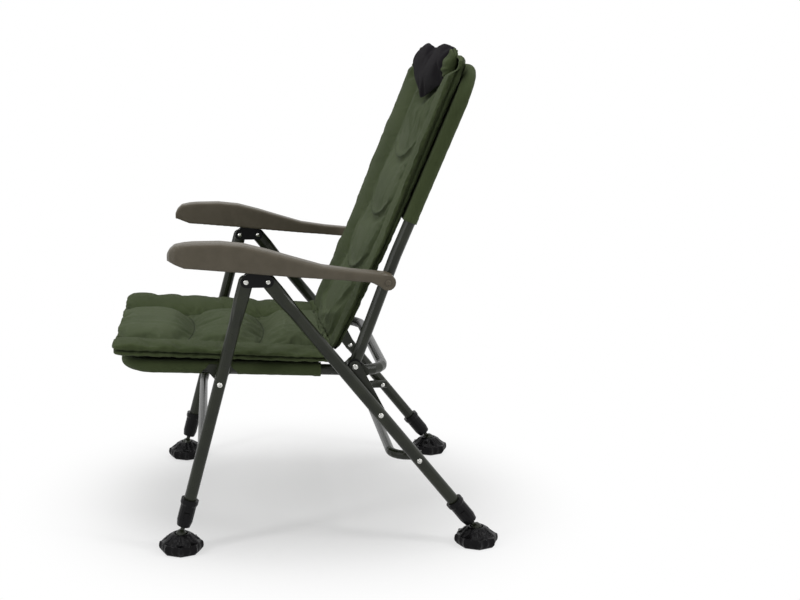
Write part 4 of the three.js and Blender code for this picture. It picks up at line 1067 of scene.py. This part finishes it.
def foot(node):
    low, high = (np.array(corner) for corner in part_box(node))
    middle_x, middle_y = (low[:2] + high[:2]) / 2
    scale = (high[0] - low[0]) / 2 / FOOT_RADIUS
    rings = []
    for r, z in FOOT_PROFILE:
        radius, height = foot_ring(r, z)
        rings.append(np.stack([middle_x + scale * radius * np.cos(FOOT_TURNS),
                               middle_y + scale * radius * np.sin(FOOT_TURNS), height], 1))
    piece = mesh_object(node + "_dome", *tube_rings(rings), ["rubber"])
    modify(piece, "BEVEL", width=0.0005, segments=2, limit_method="ANGLE", angle_limit=math.radians(34))
    apply_all(piece)
    piece.data.shade_smooth()
    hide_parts(node)
    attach(piece, BODY_OF[node])


for end_name in ("front", "rear"):
    for side_name in ("left", "right"):
        foot(f"mud_foot_{end_name}_{side_name}")


# Armrests: the same solids with softly rounded edges

def soften(node):
    source = NODES[node]
    obj = bpy.data.objects.new(node + "_moulded", source.data.copy())
    scene.collection.objects.link(obj)
    obj.matrix_world = source.matrix_world.copy()
    obj.data.materials.clear()
    obj.data.materials.append(MATS["arm"])
    modify(obj, "REMESH", mode="VOXEL", voxel_size=0.0014)
    modify(obj, "SMOOTH", factor=0.5, iterations=7)
    modify(obj, "DECIMATE", ratio=0.35)
    apply_all(obj)
    obj.data.shade_smooth()
    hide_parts(node)
    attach(obj, BODY_OF[node])


for side_name in ("left", "right"):
    soften(f"armrest_{side_name}")

# Floor, light and background
SHADOW_NEAR, SHADOW_FAR = 0.25, 0.66  # distances over which the floor turns to plain white
NEAR_WHITE = 0.4                      # how white the floor already is near the chair
SKY_LIGHT = 0.34


def seen_directly(tree):
    """1 for what the camera, a reflection or a clear piece shows, and 0 for light on the object."""
    path = add(tree, "LightPath")
    total = path.outputs["Is Camera Ray"]
    for name in ("Is Glossy Ray", "Is Transmission Ray"):
        most = add(tree, "Math", operation="MAXIMUM")
        tree.links.new(total, most.inputs[0])
        tree.links.new(path.outputs[name], most.inputs[1])
        total = most.outputs[0]
    return total


def mix_shaders(tree, factor, first, second):
    node = add(tree, "MixShader")
    for socket, source in zip(node.inputs, (factor, first.outputs[0], second.outputs[0])):
        tree.links.new(source, socket)
    return node


def add_floor():
    """Near the chair the floor keeps its shadow; further off it is plain white."""
    bpy.ops.mesh.primitive_plane_add(size=40, location=(0, 0, 0))
    floor = bpy.context.object
    floor.name = "floor"
    mat, tree, bsdf = shade("floor", (0.8, 0.8, 0.8), 0.7, Specular_IOR_Level=0.0)
    floor.data.materials.append(mat)
    distance = add(tree, "VectorMath", operation="LENGTH")
    tree.links.new(add(tree, "TexCoord").outputs["Object"], distance.inputs[0])
    fade = add(tree, "MapRange", interpolation_type="SMOOTHSTEP")
    set_range(fade, from_min=SHADOW_NEAR, from_max=SHADOW_FAR, to_min=NEAR_WHITE, to_max=1.0)
    tree.links.new(distance.outputs["Value"], fade.inputs["Value"])
    white = add(tree, "BsdfDiffuse", Color=(1, 1, 1, 1))
    glow = add(tree, "Emission", Color=(1, 1, 1, 1))
    shown = mix_shaders(tree, fade.outputs["Result"], white, glow)
    either = mix_shaders(tree, seen_directly(tree), bsdf, shown)
    tree.links.new(either.outputs[0], tree.nodes["Material Output"].inputs["Surface"])


def add_world():
    world = bpy.data.worlds.new("world")
    scene.world = world
    world.use_nodes = True
    tree = world.node_tree
    sky = tree.nodes["Background"]
    sky.inputs["Color"].default_value = (1, 1, 1, 1)
    level = add(tree, "MapRange")
    set_range(level, to_min=SKY_LIGHT, to_max=1.0)
    tree.links.new(seen_directly(tree), level.inputs["Value"])
    tree.links.new(level.outputs["Result"], sky.inputs["Strength"])


def lamp(name, wide, long, power_w, place):
    """An area lamp that faces the middle of the chair."""
    data = bpy.data.lights.new(name, "AREA")
    data.shape, data.size, data.size_y, data.energy = "RECTANGLE", wide, long, power_w
    obj = bpy.data.objects.new(name, data)
    scene.collection.objects.link(obj)
    obj.location = place
    obj.rotation_euler = (Vector((0, 0, 0.4)) - Vector(place)).to_track_quat("-Z", "Y").to_euler()


add_floor()
add_world()
lamp("top", 1.8, 1.8, 33, (-0.3, -0.2, 3.0))
lamp("front_strip", 0.34, 1.9, 17, (1.3, -2.0, 1.5))
lamp("rear_strip", 0.34, 1.9, 17, (1.1, 1.9, 1.8))
